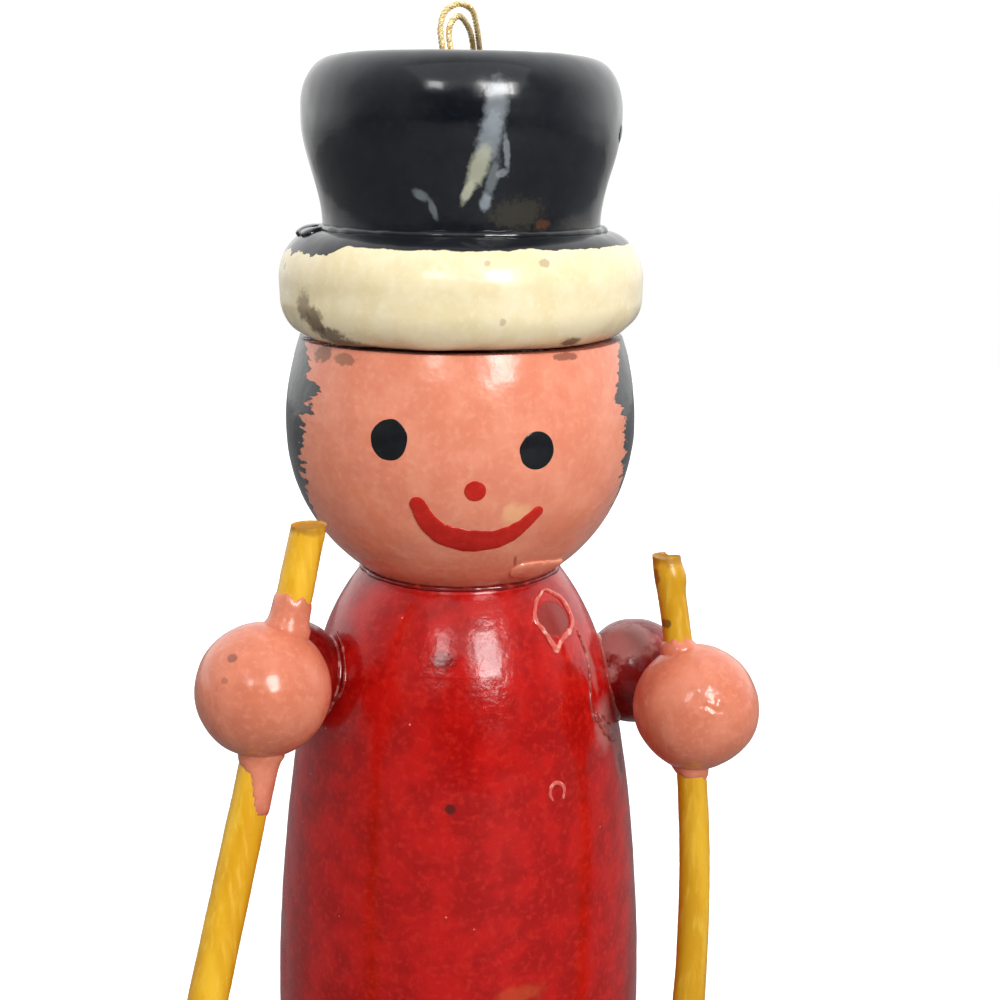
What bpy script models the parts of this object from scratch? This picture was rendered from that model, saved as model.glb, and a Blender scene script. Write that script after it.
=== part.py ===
"""Wooden peg-figure ornament: a hatted figure of turned wood gripping two poles.

Units are metres, +Z is up and the figure looks along -Y. The origin is on the turning axis
of the body, at its flat foot. Every bead, dowel and pole is its own object. The figure was
glued together, so no piece moves and each joint is a bore or a dish with a glue line.
"""

import math

import bmesh
import bpy
from mathutils import Matrix, Vector

# Clearances, all named here because every bore and seat takes its size from one of them
GLUE_GAP = 0.0003
CUTTER_RUN_OUT = 0.0020

# Body, turned in one piece: it tapers slowly from the hem and rounds over into the shoulders
FOOT_R = 0.0187
HEM_R = 0.0199
HEM_ROUND_H = 0.0024
SKIRT_TAPER = 0.00605
SKIRT_TAPER_POWER = 1.85
SHOULDER_POWER = 8.0
COLLAR_R = 0.0104
NECK_Z = 0.0517

# Head: a barrel, rounder below the widest line than above it
HEAD_R = 0.01775
HEAD_SEAT_R = 0.0101
HEAD_H = 0.0237
HEAD_UPPER_CURVE = 0.0226
HEAD_LOWER_CURVE = 0.0178

# Hat: a thick brim disc and a flared crown
BRIM_R = 0.0181
BRIM_SEAT_R = 0.0149
BRIM_H = 0.0102
BRIM_LOWER_ROUND_H = 0.0036
BRIM_UPPER_ROUND_H = 0.0048
BRIM_TOP_R = 0.0141
CROWN_BASE_R = 0.0138
CROWN_LIP_R = 0.01565
CROWN_LIP_Z = 0.0108
CROWN_EDGE_ROUND = 0.0033
CROWN_H = 0.0160

# The dowel that strings body, head and hat together
DOWEL_R = 0.0025
DOWEL_IN_BODY = 0.0100
DOWEL_IN_CROWN = 0.0060
KNOT_CHAMBER_H = 0.0042

# Hanging loop: one thin cord, doubled, knotted under the top of the crown
CORD_D = 0.00065
LOOP_HOLE_R = 0.0014
LOOP_HOLE_X = -0.0012
KNOT_R = 0.0018
CORD_SAMPLES_PER_SPAN = 2

# Arms and hands are round beads on pegs
FIGURE_TURN = math.radians(15.0)
ARM_R = 0.0056
ARM_AZIMUTH = math.radians(80.5)
HAND_R = 0.0063
PEG_R = 0.0015
PEG_IN_BODY = 0.0060
PEG_IN_ARM = 0.0032
PEG_IN_HAND = 0.0030

# Poles: hand-cut sticks pushed through the hands
POLE_INSET = 0.0010
POLE_GROUND_GAP = 0.0006
POLE_RINGS = 12
POLE_BEVEL_RESOLUTION = 4

# What differs from side to side: +1 is the side at +X
SIDES = {
    "left": {
        "sign": -1,
        "arm_below_neck": 0.0096,
        "arm_sink": 0.00185,
        "wrist_azimuth": math.radians(17.5),
        "wrist_rise": math.radians(13.0),
        "pole_r_top": 0.00165,
        "pole_r_foot": 0.00195,
        "pole_above_hand": 0.0155,
        "pole_lean": math.radians(14.0),
        "pole_splay": math.radians(11.8),
        "pole_bow": 0.0,
    },
    "right": {
        "sign": 1,
        "arm_below_neck": 0.0124,
        "arm_sink": 0.0026,
        "wrist_azimuth": math.radians(10.0),
        "wrist_rise": math.radians(1.0),
        "pole_r_top": 0.00140,
        "pole_r_foot": 0.00165,
        "pole_above_hand": 0.0150,
        "pole_lean": math.radians(12.0),
        "pole_splay": math.radians(2.2),
        "pole_bow": 0.0021,
    },
}

# Facets
TURNING_STEPS = 48
BODY_SIDE_STEPS = 18
BORE_STEPS = 20
BEAD_SEGMENTS = 28
BEAD_RINGS = 16
ARC_STEPS = 4

# Heights worked out from the sizes above
COLLAR_Z = NECK_Z - GLUE_GAP
HEAD_Z = NECK_Z + GLUE_GAP
HEAD_WIDEST_H = HEAD_LOWER_CURVE * math.sqrt(1 - (HEAD_SEAT_R / HEAD_R) ** 2)
BRIM_Z = HEAD_Z + HEAD_H + GLUE_GAP
CROWN_Z = BRIM_Z + BRIM_H + GLUE_GAP
TOP_Z = CROWN_Z + CROWN_H
DOWEL_FOOT_Z = NECK_Z - DOWEL_IN_BODY
DOWEL_TOP_Z = CROWN_Z + DOWEL_IN_CROWN
CHAMBER_TOP_Z = DOWEL_TOP_Z + KNOT_CHAMBER_H
KNOT_Z = DOWEL_TOP_Z + GLUE_GAP + KNOT_R

# Route of the hanging loop over the hat, as (x, y, height above the top of the crown).
# The first list climbs out of the hole, arches over and falls behind the hat on the +X side.
OUTER_STRAND = (
    (-0.00162, 0.0000, -0.0054),
    (-0.00162, 0.0000, -0.0036),
    (-0.00164, 0.0000, -0.0016),
    (-0.00176, 0.0000, 0.0001),
    (-0.00196, 0.0000, 0.0014),
    (-0.00208, 0.0002, 0.0029),
    (-0.00170, 0.0008, 0.0043),
    (-0.00090, 0.0014, 0.0050),
    (-0.00010, 0.0021, 0.0052),
    (0.00090, 0.0033, 0.0047),
    (0.00150, 0.0047, 0.0035),
    (0.00184, 0.0063, 0.0021),
    (0.00200, 0.0082, 0.0011),
    (0.00200, 0.0108, 0.0008),
    (0.00195, 0.0134, 0.0004),
    (0.00190, 0.0155, -0.0008),
    (0.00185, 0.0166, -0.0028),
    (0.00185, 0.0170, -0.0075),
    (0.00190, 0.0174, -0.0120),
    (0.00200, 0.0184, -0.0164),
    (0.00220, 0.0190, -0.0205),
    (0.00245, 0.0190, -0.0270),
    (0.00270, 0.0188, -0.0340),
    (0.00280, 0.0187, -0.0410),
    (0.00215, 0.0187, -0.0462),
)
LOOP_END = (0.00060, 0.0187, -0.0482)
# The second list is the strand beside it, from the end of the loop back into the hole.
INNER_STRAND = (
    (-0.00095, 0.0187, -0.0462),
    (-0.00160, 0.0187, -0.0410),
    (-0.00145, 0.0188, -0.0340),
    (-0.00090, 0.0190, -0.0270),
    (-0.00030, 0.0190, -0.0205),
    (0.00020, 0.0184, -0.0164),
    (0.00055, 0.0174, -0.0120),
    (0.00075, 0.0170, -0.0075),
    (0.00085, 0.0166, -0.0028),
    (0.00090, 0.0155, -0.0008),
    (0.00092, 0.0134, 0.0004),
    (0.00092, 0.0108, 0.0008),
    (0.00090, 0.0084, 0.0011),
    (0.00084, 0.0066, 0.0020),
    (0.00060, 0.0050, 0.0030),
    (0.00010, 0.0036, 0.0038),
    (-0.00040, 0.0024, 0.0041),
    (-0.00095, 0.0013, 0.0036),
    (-0.00126, 0.0004, 0.0026),
    (-0.00118, 0.0000, 0.0014),
    (-0.00092, 0.0000, 0.0001),
    (-0.00080, 0.0000, -0.0016),
    (-0.00078, 0.0000, -0.0036),
    (-0.00078, 0.0000, -0.0054),
)


def clear_scene():
    """Remove whatever the startup file holds."""
    for obj in list(bpy.data.objects):
        bpy.data.objects.remove(obj, do_unlink=True)


def new_collection(name):
    """Add a collection to the scene."""
    collection = bpy.data.collections.new(name)
    bpy.context.scene.collection.children.link(collection)
    return collection


def paint(name, colour, roughness, metallic=0.0):
    """Make a Principled material."""
    material = bpy.data.materials.new(name)
    material.use_nodes = True
    shader = material.node_tree.nodes["Principled BSDF"]
    shader.inputs["Base Color"].default_value = (*colour, 1.0)
    shader.inputs["Roughness"].default_value = roughness
    shader.inputs["Metallic"].default_value = metallic
    material.diffuse_color = (*colour, 1.0)
    return material


def add_object(name, data, collection, material=None):
    """Link a new object, with its material, to a collection."""
    obj = bpy.data.objects.new(name, data)
    collection.objects.link(obj)
    if material:
        data.materials.append(material)
    return obj


def arc(centre, radii, start, end, steps=ARC_STEPS):
    """Points (r, z) on an elliptical arc, angles in degrees from the outward direction."""
    points = []
    for i in range(steps + 1):
        angle = math.radians(start + (end - start) * i / steps)
        points.append((centre[0] + radii[0] * math.cos(angle), centre[1] + radii[1] * math.sin(angle)))
    return points


def turned(name, profile, collection, material=None, steps=TURNING_STEPS):
    """Turn a profile of (r, z) points, listed from the top of the axis down its outer side."""
    mesh = bpy.data.meshes.new(name)
    edges = [(i, i + 1) for i in range(len(profile) - 1)]
    mesh.from_pydata([(r, 0.0, z) for r, z in profile], edges, [])
    obj = add_object(name, mesh, collection, material)
    screw = obj.modifiers.new("Turn", "SCREW")
    screw.axis = "Z"
    screw.angle = 2 * math.pi
    screw.steps = steps
    screw.render_steps = steps
    screw.use_merge_vertices = True
    screw.merge_threshold = 0.00001
    screw.use_smooth_shade = True
    return obj


def rod(name, radius, foot, length, collection, material=None, aim=(0.0, 0.0, 0.0), steps=BORE_STEPS):
    """Make a straight round rod that starts at foot and runs along the aim's local Z."""
    mesh = bpy.data.meshes.new(name)
    rod_mesh = bmesh.new()
    bmesh.ops.create_cone(
        rod_mesh,
        cap_ends=True,
        segments=steps,
        radius1=radius,
        radius2=radius,
        depth=length,
        matrix=Matrix.Translation((0.0, 0.0, length / 2)),
    )
    rod_mesh.to_mesh(mesh)
    rod_mesh.free()
    obj = add_object(name, mesh, collection, material)
    obj.location = foot
    obj.rotation_euler = aim
    mesh.shade_smooth()
    mesh.set_sharp_from_angle(angle=math.radians(40))
    return obj


def bead(name, radius, centre, collection, material=None, aim=(0.0, 0.0, 0.0)):
    """Make a ball whose poles lie along the aim's local Z."""
    mesh = bpy.data.meshes.new(name)
    ball = bmesh.new()
    bmesh.ops.create_uvsphere(ball, u_segments=BEAD_SEGMENTS, v_segments=BEAD_RINGS, radius=radius)
    ball.to_mesh(mesh)
    ball.free()
    mesh.shade_smooth()
    obj = add_object(name, mesh, collection, material)
    obj.location = centre
    obj.rotation_euler = aim
    return obj


def cut(obj, cutter, name):
    """Subtract a cutter from an object."""
    cutter.hide_render = True
    cutter.display_type = "WIRE"
    boolean = obj.modifiers.new(name, "BOOLEAN")
    boolean.operation = "DIFFERENCE"
    boolean.solver = "EXACT"
    boolean.object = cutter


def aim_at(azimuth, rise):
    """Euler angles that carry local Z to a heading: azimuth from -Y towards +X, rise from level."""
    return (math.pi / 2 - rise, 0.0, azimuth)


def heading(azimuth, rise):
    """Unit vector of a heading."""
    level = math.cos(rise)
    return Vector((level * math.sin(azimuth), -level * math.cos(azimuth), math.sin(rise)))


def body_radius(z):
    """Radius of the body's side at a height between its hem and its collar."""
    share = max(0.0, z - HEM_ROUND_H) / (COLLAR_Z - HEM_ROUND_H)
    shoulder_step = HEM_R - COLLAR_R - SKIRT_TAPER
    return HEM_R - SKIRT_TAPER * share**SKIRT_TAPER_POWER - shoulder_step * share**SHOULDER_POWER


def arm_layout(side):
    """Centres and headings of one arm's beads."""
    shoulder_azimuth = side["sign"] * ARM_AZIMUTH + FIGURE_TURN
    wrist_azimuth = side["sign"] * side["wrist_azimuth"] + FIGURE_TURN
    shoulder_way = heading(shoulder_azimuth, 0.0)
    wrist_way = heading(wrist_azimuth, side["wrist_rise"])
    arm_z = NECK_Z - side["arm_below_neck"]
    arm_reach = body_radius(arm_z) + ARM_R - side["arm_sink"]
    arm_centre = shoulder_way * arm_reach + Vector((0.0, 0.0, arm_z))
    hand_centre = arm_centre + wrist_way * (ARM_R + HAND_R + GLUE_GAP)
    return {
        "shoulder_aim": aim_at(shoulder_azimuth, 0.0),
        "shoulder_way": shoulder_way,
        "arm_reach": arm_reach,
        "arm_centre": arm_centre,
        "wrist_aim": aim_at(wrist_azimuth, side["wrist_rise"]),
        "wrist_way": wrist_way,
        "hand_centre": hand_centre,
    }


def pole_line(side, hand_centre):
    """Points and radii down the centre of one pole, from its top to just above the ground."""
    down = Vector((side["sign"] * math.tan(side["pole_splay"]), -math.tan(side["pole_lean"]), -1.0))
    grip = hand_centre + Vector((-side["sign"] * POLE_INSET, 0.0, 0.0))
    top = grip - down.normalized() * side["pole_above_hand"]
    foot = grip + down * (grip.z - POLE_GROUND_GAP)
    points = []
    for i in range(POLE_RINGS + 1):
        t = i / POLE_RINGS
        bow = side["pole_bow"] * math.sin(math.pi * t)
        points.append(top.lerp(foot, t) + Vector((side["sign"] * bow, 0.0, 0.0)))
    grip_t = (top.z - grip.z) / (top.z - foot.z)
    offset = Vector((side["sign"] * side["pole_bow"] * math.sin(math.pi * grip_t), 0.0, 0.0))
    points = [point - offset for point in points]
    return points


def tube(name, points, radii, collection, material=None, bevel_resolution=2):
    """Make a round tube along points, with its ends filled."""
    curve = bpy.data.curves.new(name, "CURVE")
    curve.dimensions = "3D"
    curve.bevel_depth = max(radii)
    curve.bevel_resolution = bevel_resolution
    curve.use_fill_caps = True
    spline = curve.splines.new("POLY")
    spline.points.add(len(points) - 1)
    for target, point, radius in zip(spline.points, points, radii):
        target.co = (*point, 1.0)
        target.radius = radius / max(radii)
    return add_object(name, curve, collection, material)


def as_mesh(obj):
    """Swap a curve object for a mesh object with its caps welded, so that it can cut."""
    graph = bpy.context.evaluated_depsgraph_get()
    mesh = bpy.data.meshes.new_from_object(obj.evaluated_get(graph))
    welded = bmesh.new()
    welded.from_mesh(mesh)
    bmesh.ops.remove_doubles(welded, verts=welded.verts, dist=0.000001)
    bmesh.ops.recalc_face_normals(welded, faces=welded.faces)
    welded.to_mesh(mesh)
    welded.free()
    name, matrix, collection = obj.name, obj.matrix_world.copy(), obj.users_collection[0]
    bpy.data.objects.remove(obj, do_unlink=True)
    swapped = add_object(name, mesh, collection)
    swapped.matrix_world = matrix
    return swapped


def catmull_rom(points, samples_per_span):
    """Smooth curve through points, with its ends kept."""
    ends = [points[0] * 2 - points[1], *points, points[-1] * 2 - points[-2]]
    smooth = []
    for i in range(1, len(ends) - 2):
        before, start, end, after = ends[i - 1 : i + 3]
        for k in range(samples_per_span):
            t = k / samples_per_span
            smooth.append(
                0.5
                * (
                    2 * start
                    + (end - before) * t
                    + (2 * before - 5 * start + 4 * end - after) * t**2
                    + (3 * start - before - 3 * end + after) * t**3
                )
            )
    return [*smooth, points[-1]]


def body_profile():
    """Outline of the body: collar, rounded shoulders, tapered skirt, rounded hem and flat foot."""
    outline = [(0.0, NECK_Z), (COLLAR_R - GLUE_GAP, NECK_Z)]
    for i in range(BODY_SIDE_STEPS + 1):
        z = COLLAR_Z - (COLLAR_Z - HEM_ROUND_H) * (i / BODY_SIDE_STEPS) ** 1.5
        outline.append((body_radius(z), z))
    outline += arc((FOOT_R, HEM_ROUND_H), (HEM_R - FOOT_R, HEM_ROUND_H), 0, -90)[1:]
    return [*outline, (0.0, 0.0)]


def head_profile():
    """Outline of the head: flat on top, a slow upper curve, a fuller lower curve and a flat seat."""
    centre = (0.0, HEAD_Z + HEAD_WIDEST_H)
    above = math.degrees(math.asin((HEAD_H - HEAD_WIDEST_H) / HEAD_UPPER_CURVE))
    below = math.degrees(math.acos(HEAD_SEAT_R / HEAD_R))
    upper = arc(centre, (HEAD_R, HEAD_UPPER_CURVE), above, 0, ARC_STEPS)
    lower = arc(centre, (HEAD_R, HEAD_LOWER_CURVE), 0, -below, 2 * ARC_STEPS)
    return [(0.0, HEAD_Z + HEAD_H), *upper, *lower[1:], (0.0, HEAD_Z)]


def brim_profile():
    """Outline of the brim: a slightly domed top and well rounded edges."""
    lower = arc(
        (BRIM_SEAT_R, BRIM_Z + BRIM_LOWER_ROUND_H),
        (BRIM_R - BRIM_SEAT_R, BRIM_LOWER_ROUND_H),
        0,
        -90,
    )
    shoulder_z = BRIM_Z + BRIM_H - BRIM_UPPER_ROUND_H
    upper = arc((BRIM_TOP_R, shoulder_z), (BRIM_R - BRIM_TOP_R, BRIM_UPPER_ROUND_H), 90, 0)
    return [(0.0, BRIM_Z + BRIM_H), *upper, *lower, (0.0, BRIM_Z)]


def crown_profile():
    """Outline of the crown: it flares to a lip, then rounds over to a flat top."""
    edge_centre = (CROWN_LIP_R - CROWN_EDGE_ROUND, TOP_Z - CROWN_EDGE_ROUND)
    edge = arc(edge_centre, (CROWN_EDGE_ROUND, CROWN_EDGE_ROUND), 90, 0, ARC_STEPS)
    outline = [(0.0, TOP_Z), *edge]
    for i in range(1, 2 * ARC_STEPS + 1):
        t = i / (2 * ARC_STEPS)
        ease = (1 + math.cos(math.pi * t)) / 2
        outline.append((CROWN_BASE_R + (CROWN_LIP_R - CROWN_BASE_R) * ease, CROWN_Z + CROWN_LIP_Z * (1 - t)))
    return [*outline, (0.0, CROWN_Z)]


def axis_cutter(name, radius, low_z, high_z, cutters, x=0.0):
    """Straight bore cutter on the figure's axis, or beside it."""
    return rod(name, radius, (x, 0.0, low_z), high_z - low_z, cutters)


def build_body(parts, cutters, material):
    """Body with its dowel bore, shoulder dishes and peg bores."""
    body = turned("body", body_profile(), parts, material)
    neck_bore = axis_cutter(
        "neck_bore", DOWEL_R + GLUE_GAP, DOWEL_FOOT_Z - GLUE_GAP, NECK_Z + CUTTER_RUN_OUT, cutters
    )
    cut(body, neck_bore, "Dowel bore")
    for name, side in SIDES.items():
        layout = arm_layout(side)
        dish = bead(name + "_dish", ARM_R + GLUE_GAP, layout["arm_centre"], cutters, aim=layout["shoulder_aim"])
        cut(body, dish, name.capitalize() + " shoulder dish")
        bore_depth = PEG_IN_BODY + GLUE_GAP
        foot = layout["arm_centre"] - layout["shoulder_way"] * (ARM_R + bore_depth)
        bore = rod(
            name + "_shoulder_bore",
            PEG_R + GLUE_GAP,
            foot,
            bore_depth + CUTTER_RUN_OUT,
            cutters,
            aim=layout["shoulder_aim"],
        )
        cut(body, bore, name.capitalize() + " peg bore")
    return body


def build_head(parts, cutters, material):
    """Head with the dowel bore right through it."""
    head = turned("head", head_profile(), parts, material)
    bore = axis_cutter(
        "head_bore",
        DOWEL_R + GLUE_GAP,
        HEAD_Z - CUTTER_RUN_OUT,
        HEAD_Z + HEAD_H + CUTTER_RUN_OUT,
        cutters,
    )
    cut(head, bore, "Dowel bore")
    return head


def build_hat(parts, cutters, brim_material, crown_material):
    """Brim and crown, each bored for the dowel, and the small hole for the loop."""
    brim = turned("hat_brim", brim_profile(), parts, brim_material)
    brim_bore = axis_cutter(
        "brim_bore",
        DOWEL_R + GLUE_GAP,
        BRIM_Z - CUTTER_RUN_OUT,
        BRIM_Z + BRIM_H + CUTTER_RUN_OUT,
        cutters,
    )
    cut(brim, brim_bore, "Dowel bore")
    crown = turned("hat_crown", crown_profile(), parts, crown_material)
    crown_bore = axis_cutter(
        "crown_bore", DOWEL_R + GLUE_GAP, CROWN_Z - CUTTER_RUN_OUT, CHAMBER_TOP_Z, cutters
    )
    cut(crown, crown_bore, "Dowel bore")
    loop_hole = axis_cutter(
        "loop_hole",
        LOOP_HOLE_R,
        CHAMBER_TOP_Z - CUTTER_RUN_OUT,
        TOP_Z + CUTTER_RUN_OUT,
        cutters,
        x=LOOP_HOLE_X,
    )
    cut(crown, loop_hole, "Loop hole")
    return brim, crown


def build_dowel(parts, material):
    """The dowel that strings the body, the head and the hat."""
    return rod("centre_dowel", DOWEL_R, (0.0, 0.0, DOWEL_FOOT_Z), DOWEL_TOP_Z - DOWEL_FOOT_Z, parts, material)


def build_pole(name, side, parts, material):
    """One pole, thicker towards its foot and bowed if its side says so."""
    points = pole_line(side, arm_layout(side)["hand_centre"])
    step = (side["pole_r_foot"] - side["pole_r_top"]) / POLE_RINGS
    radii = [side["pole_r_top"] + step * i for i in range(len(points))]
    return tube(name + "_pole", points, radii, parts, material, POLE_BEVEL_RESOLUTION)


def pole_bore(name, side, cutters):
    """Cutter that follows the pole through the hand with a glue gap all round."""
    points = pole_line(side, arm_layout(side)["hand_centre"])
    step = (side["pole_r_foot"] - side["pole_r_top"]) / POLE_RINGS
    radii = [side["pole_r_top"] + step * i + GLUE_GAP for i in range(len(points))]
    return as_mesh(tube(name + "_pole_bore", points, radii, cutters, None, POLE_BEVEL_RESOLUTION))


def build_arm(name, side, parts, cutters, sleeve_material, hand_material, peg_material):
    """Arm bead, hand bead and the two pegs that hold them."""
    layout = arm_layout(side)
    arm = bead(name + "_arm", ARM_R, layout["arm_centre"], parts, sleeve_material, layout["shoulder_aim"])
    hand = bead(name + "_hand", HAND_R, layout["hand_centre"], parts, hand_material, layout["wrist_aim"])

    shoulder_foot = layout["arm_centre"] - layout["shoulder_way"] * (ARM_R + PEG_IN_BODY)
    shoulder_length = PEG_IN_BODY + PEG_IN_ARM
    rod(
        name + "_shoulder_peg",
        PEG_R,
        shoulder_foot,
        shoulder_length,
        parts,
        peg_material,
        aim=layout["shoulder_aim"],
    )
    shoulder_bore = rod(
        name + "_arm_bore",
        PEG_R + GLUE_GAP,
        shoulder_foot,
        shoulder_length + GLUE_GAP,
        cutters,
        aim=layout["shoulder_aim"],
    )
    cut(arm, shoulder_bore, "Shoulder peg bore")

    wrist_foot = layout["arm_centre"] + layout["wrist_way"] * (ARM_R - PEG_IN_ARM)
    wrist_length = PEG_IN_ARM + GLUE_GAP + PEG_IN_HAND
    rod(name + "_wrist_peg", PEG_R, wrist_foot, wrist_length, parts, peg_material, aim=layout["wrist_aim"])
    wrist_bore = rod(
        name + "_wrist_bore",
        PEG_R + GLUE_GAP,
        wrist_foot - layout["wrist_way"] * GLUE_GAP,
        wrist_length + 2 * GLUE_GAP,
        cutters,
        aim=layout["wrist_aim"],
    )
    cut(arm, wrist_bore, "Wrist peg bore")
    cut(hand, wrist_bore, "Wrist peg bore")
    cut(hand, pole_bore(name, side, cutters), "Pole bore")
    return arm, hand


def build_loop(parts, material):
    """The doubled hanging cord and the knot that keeps it in the crown."""
    lift = Vector((0.0, 0.0, TOP_Z))
    route = [Vector(point) + lift for point in (*OUTER_STRAND, LOOP_END, *INNER_STRAND)]
    points = catmull_rom(route, CORD_SAMPLES_PER_SPAN)
    tube("hanging_loop", points, [CORD_D / 2] * len(points), parts, material)
    return bead("loop_knot", KNOT_R, (0.0, 0.0, KNOT_Z), parts, material)


def main():
    """Build the ornament."""
    clear_scene()
    parts = new_collection("wooden_ornament")
    cutters = new_collection("cutters")
    red = paint("red_enamel", (0.48, 0.012, 0.008), 0.22)
    dark_red = paint("dark_red_enamel", (0.22, 0.008, 0.006), 0.25)
    skin = paint("skin_enamel", (0.80, 0.27, 0.16), 0.28)
    cream = paint("cream_enamel", (0.90, 0.79, 0.50), 0.30)
    black = paint("black_enamel", (0.012, 0.014, 0.020), 0.18)
    yellow = paint("yellow_enamel", (0.86, 0.54, 0.04), 0.35)
    raw_wood = paint("raw_wood", (0.58, 0.40, 0.22), 0.65)
    gold = paint("gold_thread", (0.83, 0.68, 0.30), 0.35, 0.6)

    build_body(parts, cutters, red)
    build_head(parts, cutters, skin)
    build_hat(parts, cutters, cream, black)
    build_dowel(parts, raw_wood)
    for name, side in SIDES.items():
        build_pole(name, side, parts, yellow)
        build_arm(name, side, parts, cutters, dark_red, skin, raw_wood)
    build_loop(parts, gold)


main()
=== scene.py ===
"""Looks of a turned-wood figure ornament: gloss paint, glue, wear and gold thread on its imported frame.

Units are metres, +Z is up and the figure looks along -Y. Every piece stands where its frame
node stands, and rides on the one rigid body.
"""

import logging
import math
from collections.abc import Callable, Sequence
from dataclasses import dataclass, field
from enum import Enum
from functools import cached_property

import bmesh
import bpy
from mathutils import Matrix, Vector, noise


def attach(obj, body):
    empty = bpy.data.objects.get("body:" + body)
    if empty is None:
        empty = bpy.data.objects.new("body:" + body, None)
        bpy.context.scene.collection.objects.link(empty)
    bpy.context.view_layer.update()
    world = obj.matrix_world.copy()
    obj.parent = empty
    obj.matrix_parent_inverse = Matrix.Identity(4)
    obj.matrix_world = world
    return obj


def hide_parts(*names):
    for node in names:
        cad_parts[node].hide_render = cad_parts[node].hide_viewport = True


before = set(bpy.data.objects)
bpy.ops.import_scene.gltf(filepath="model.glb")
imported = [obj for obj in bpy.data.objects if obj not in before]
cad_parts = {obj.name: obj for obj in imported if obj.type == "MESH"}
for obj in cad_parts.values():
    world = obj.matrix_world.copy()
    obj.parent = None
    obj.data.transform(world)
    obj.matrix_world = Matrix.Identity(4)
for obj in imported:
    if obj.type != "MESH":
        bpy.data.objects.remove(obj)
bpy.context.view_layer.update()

LOG = logging.getLogger("ornament")
BODY = "root"
MM = 0.001

Triple = tuple[float, float, float]
Colour = Triple
Pin = tuple[float, float]
Layers = Sequence[Pin]
Socket = bpy.types.NodeSocket
BMesh = bmesh.types.BMesh
Seam = Callable[[float], tuple[Vector, Vector, Vector]]

UP = Vector((0.0, 0.0, 1.0))
PLAIN = (1.0, 1.0, 1.0)
WHITE = (1.0, 1.0, 1.0, 1.0)


class Slot(Enum):
    """Material slots of the record."""

    BODY = "body_red"
    SLEEVE = "sleeve_red"
    SKIN = "skin"
    BRIM = "brim_cream"
    HAT = "hat_black"
    POLE = "pole_yellow"
    WOOD = "raw_wood"
    THREAD = "gold_thread"


class Side(Enum):
    """The two arms, by the sign of X."""

    LEFT = -1
    RIGHT = 1

    @property
    def word(self) -> str:
        """Side's name as the frame's nodes spell it."""
        return self.name.lower()


def screen(red: int, green: int, blue: int) -> Colour:
    """Linear colour from screen values of 0 to 255.

    Args:
        red: Red.
        green: Green.
        blue: Blue.

    Returns:
        The three linear channels.
    """

    def linear(value: int) -> float:
        """One channel."""
        share = value / 255
        return share / 12.92 if share <= 0.04045 else ((share + 0.055) / 1.055) ** 2.4

    return linear(red), linear(green), linear(blue)


def smooth(value: float) -> float:
    """Ease from 0 to 1."""
    value = min(1.0, max(0.0, value))
    return value * value * (3 - 2 * value)


def wobble(point: Vector, size: float, seed: float = 0.0) -> float:
    """Smooth noise of about -1 to 1 with lumps of the given size.

    Args:
        point: Place in metres.
        size: Distance between lumps in metres.
        seed: Shifts the pattern.

    Returns:
        The noise value.
    """
    return noise.noise(point / size + Vector((seed, seed * 1.7, -seed)))


# Finishes


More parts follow.
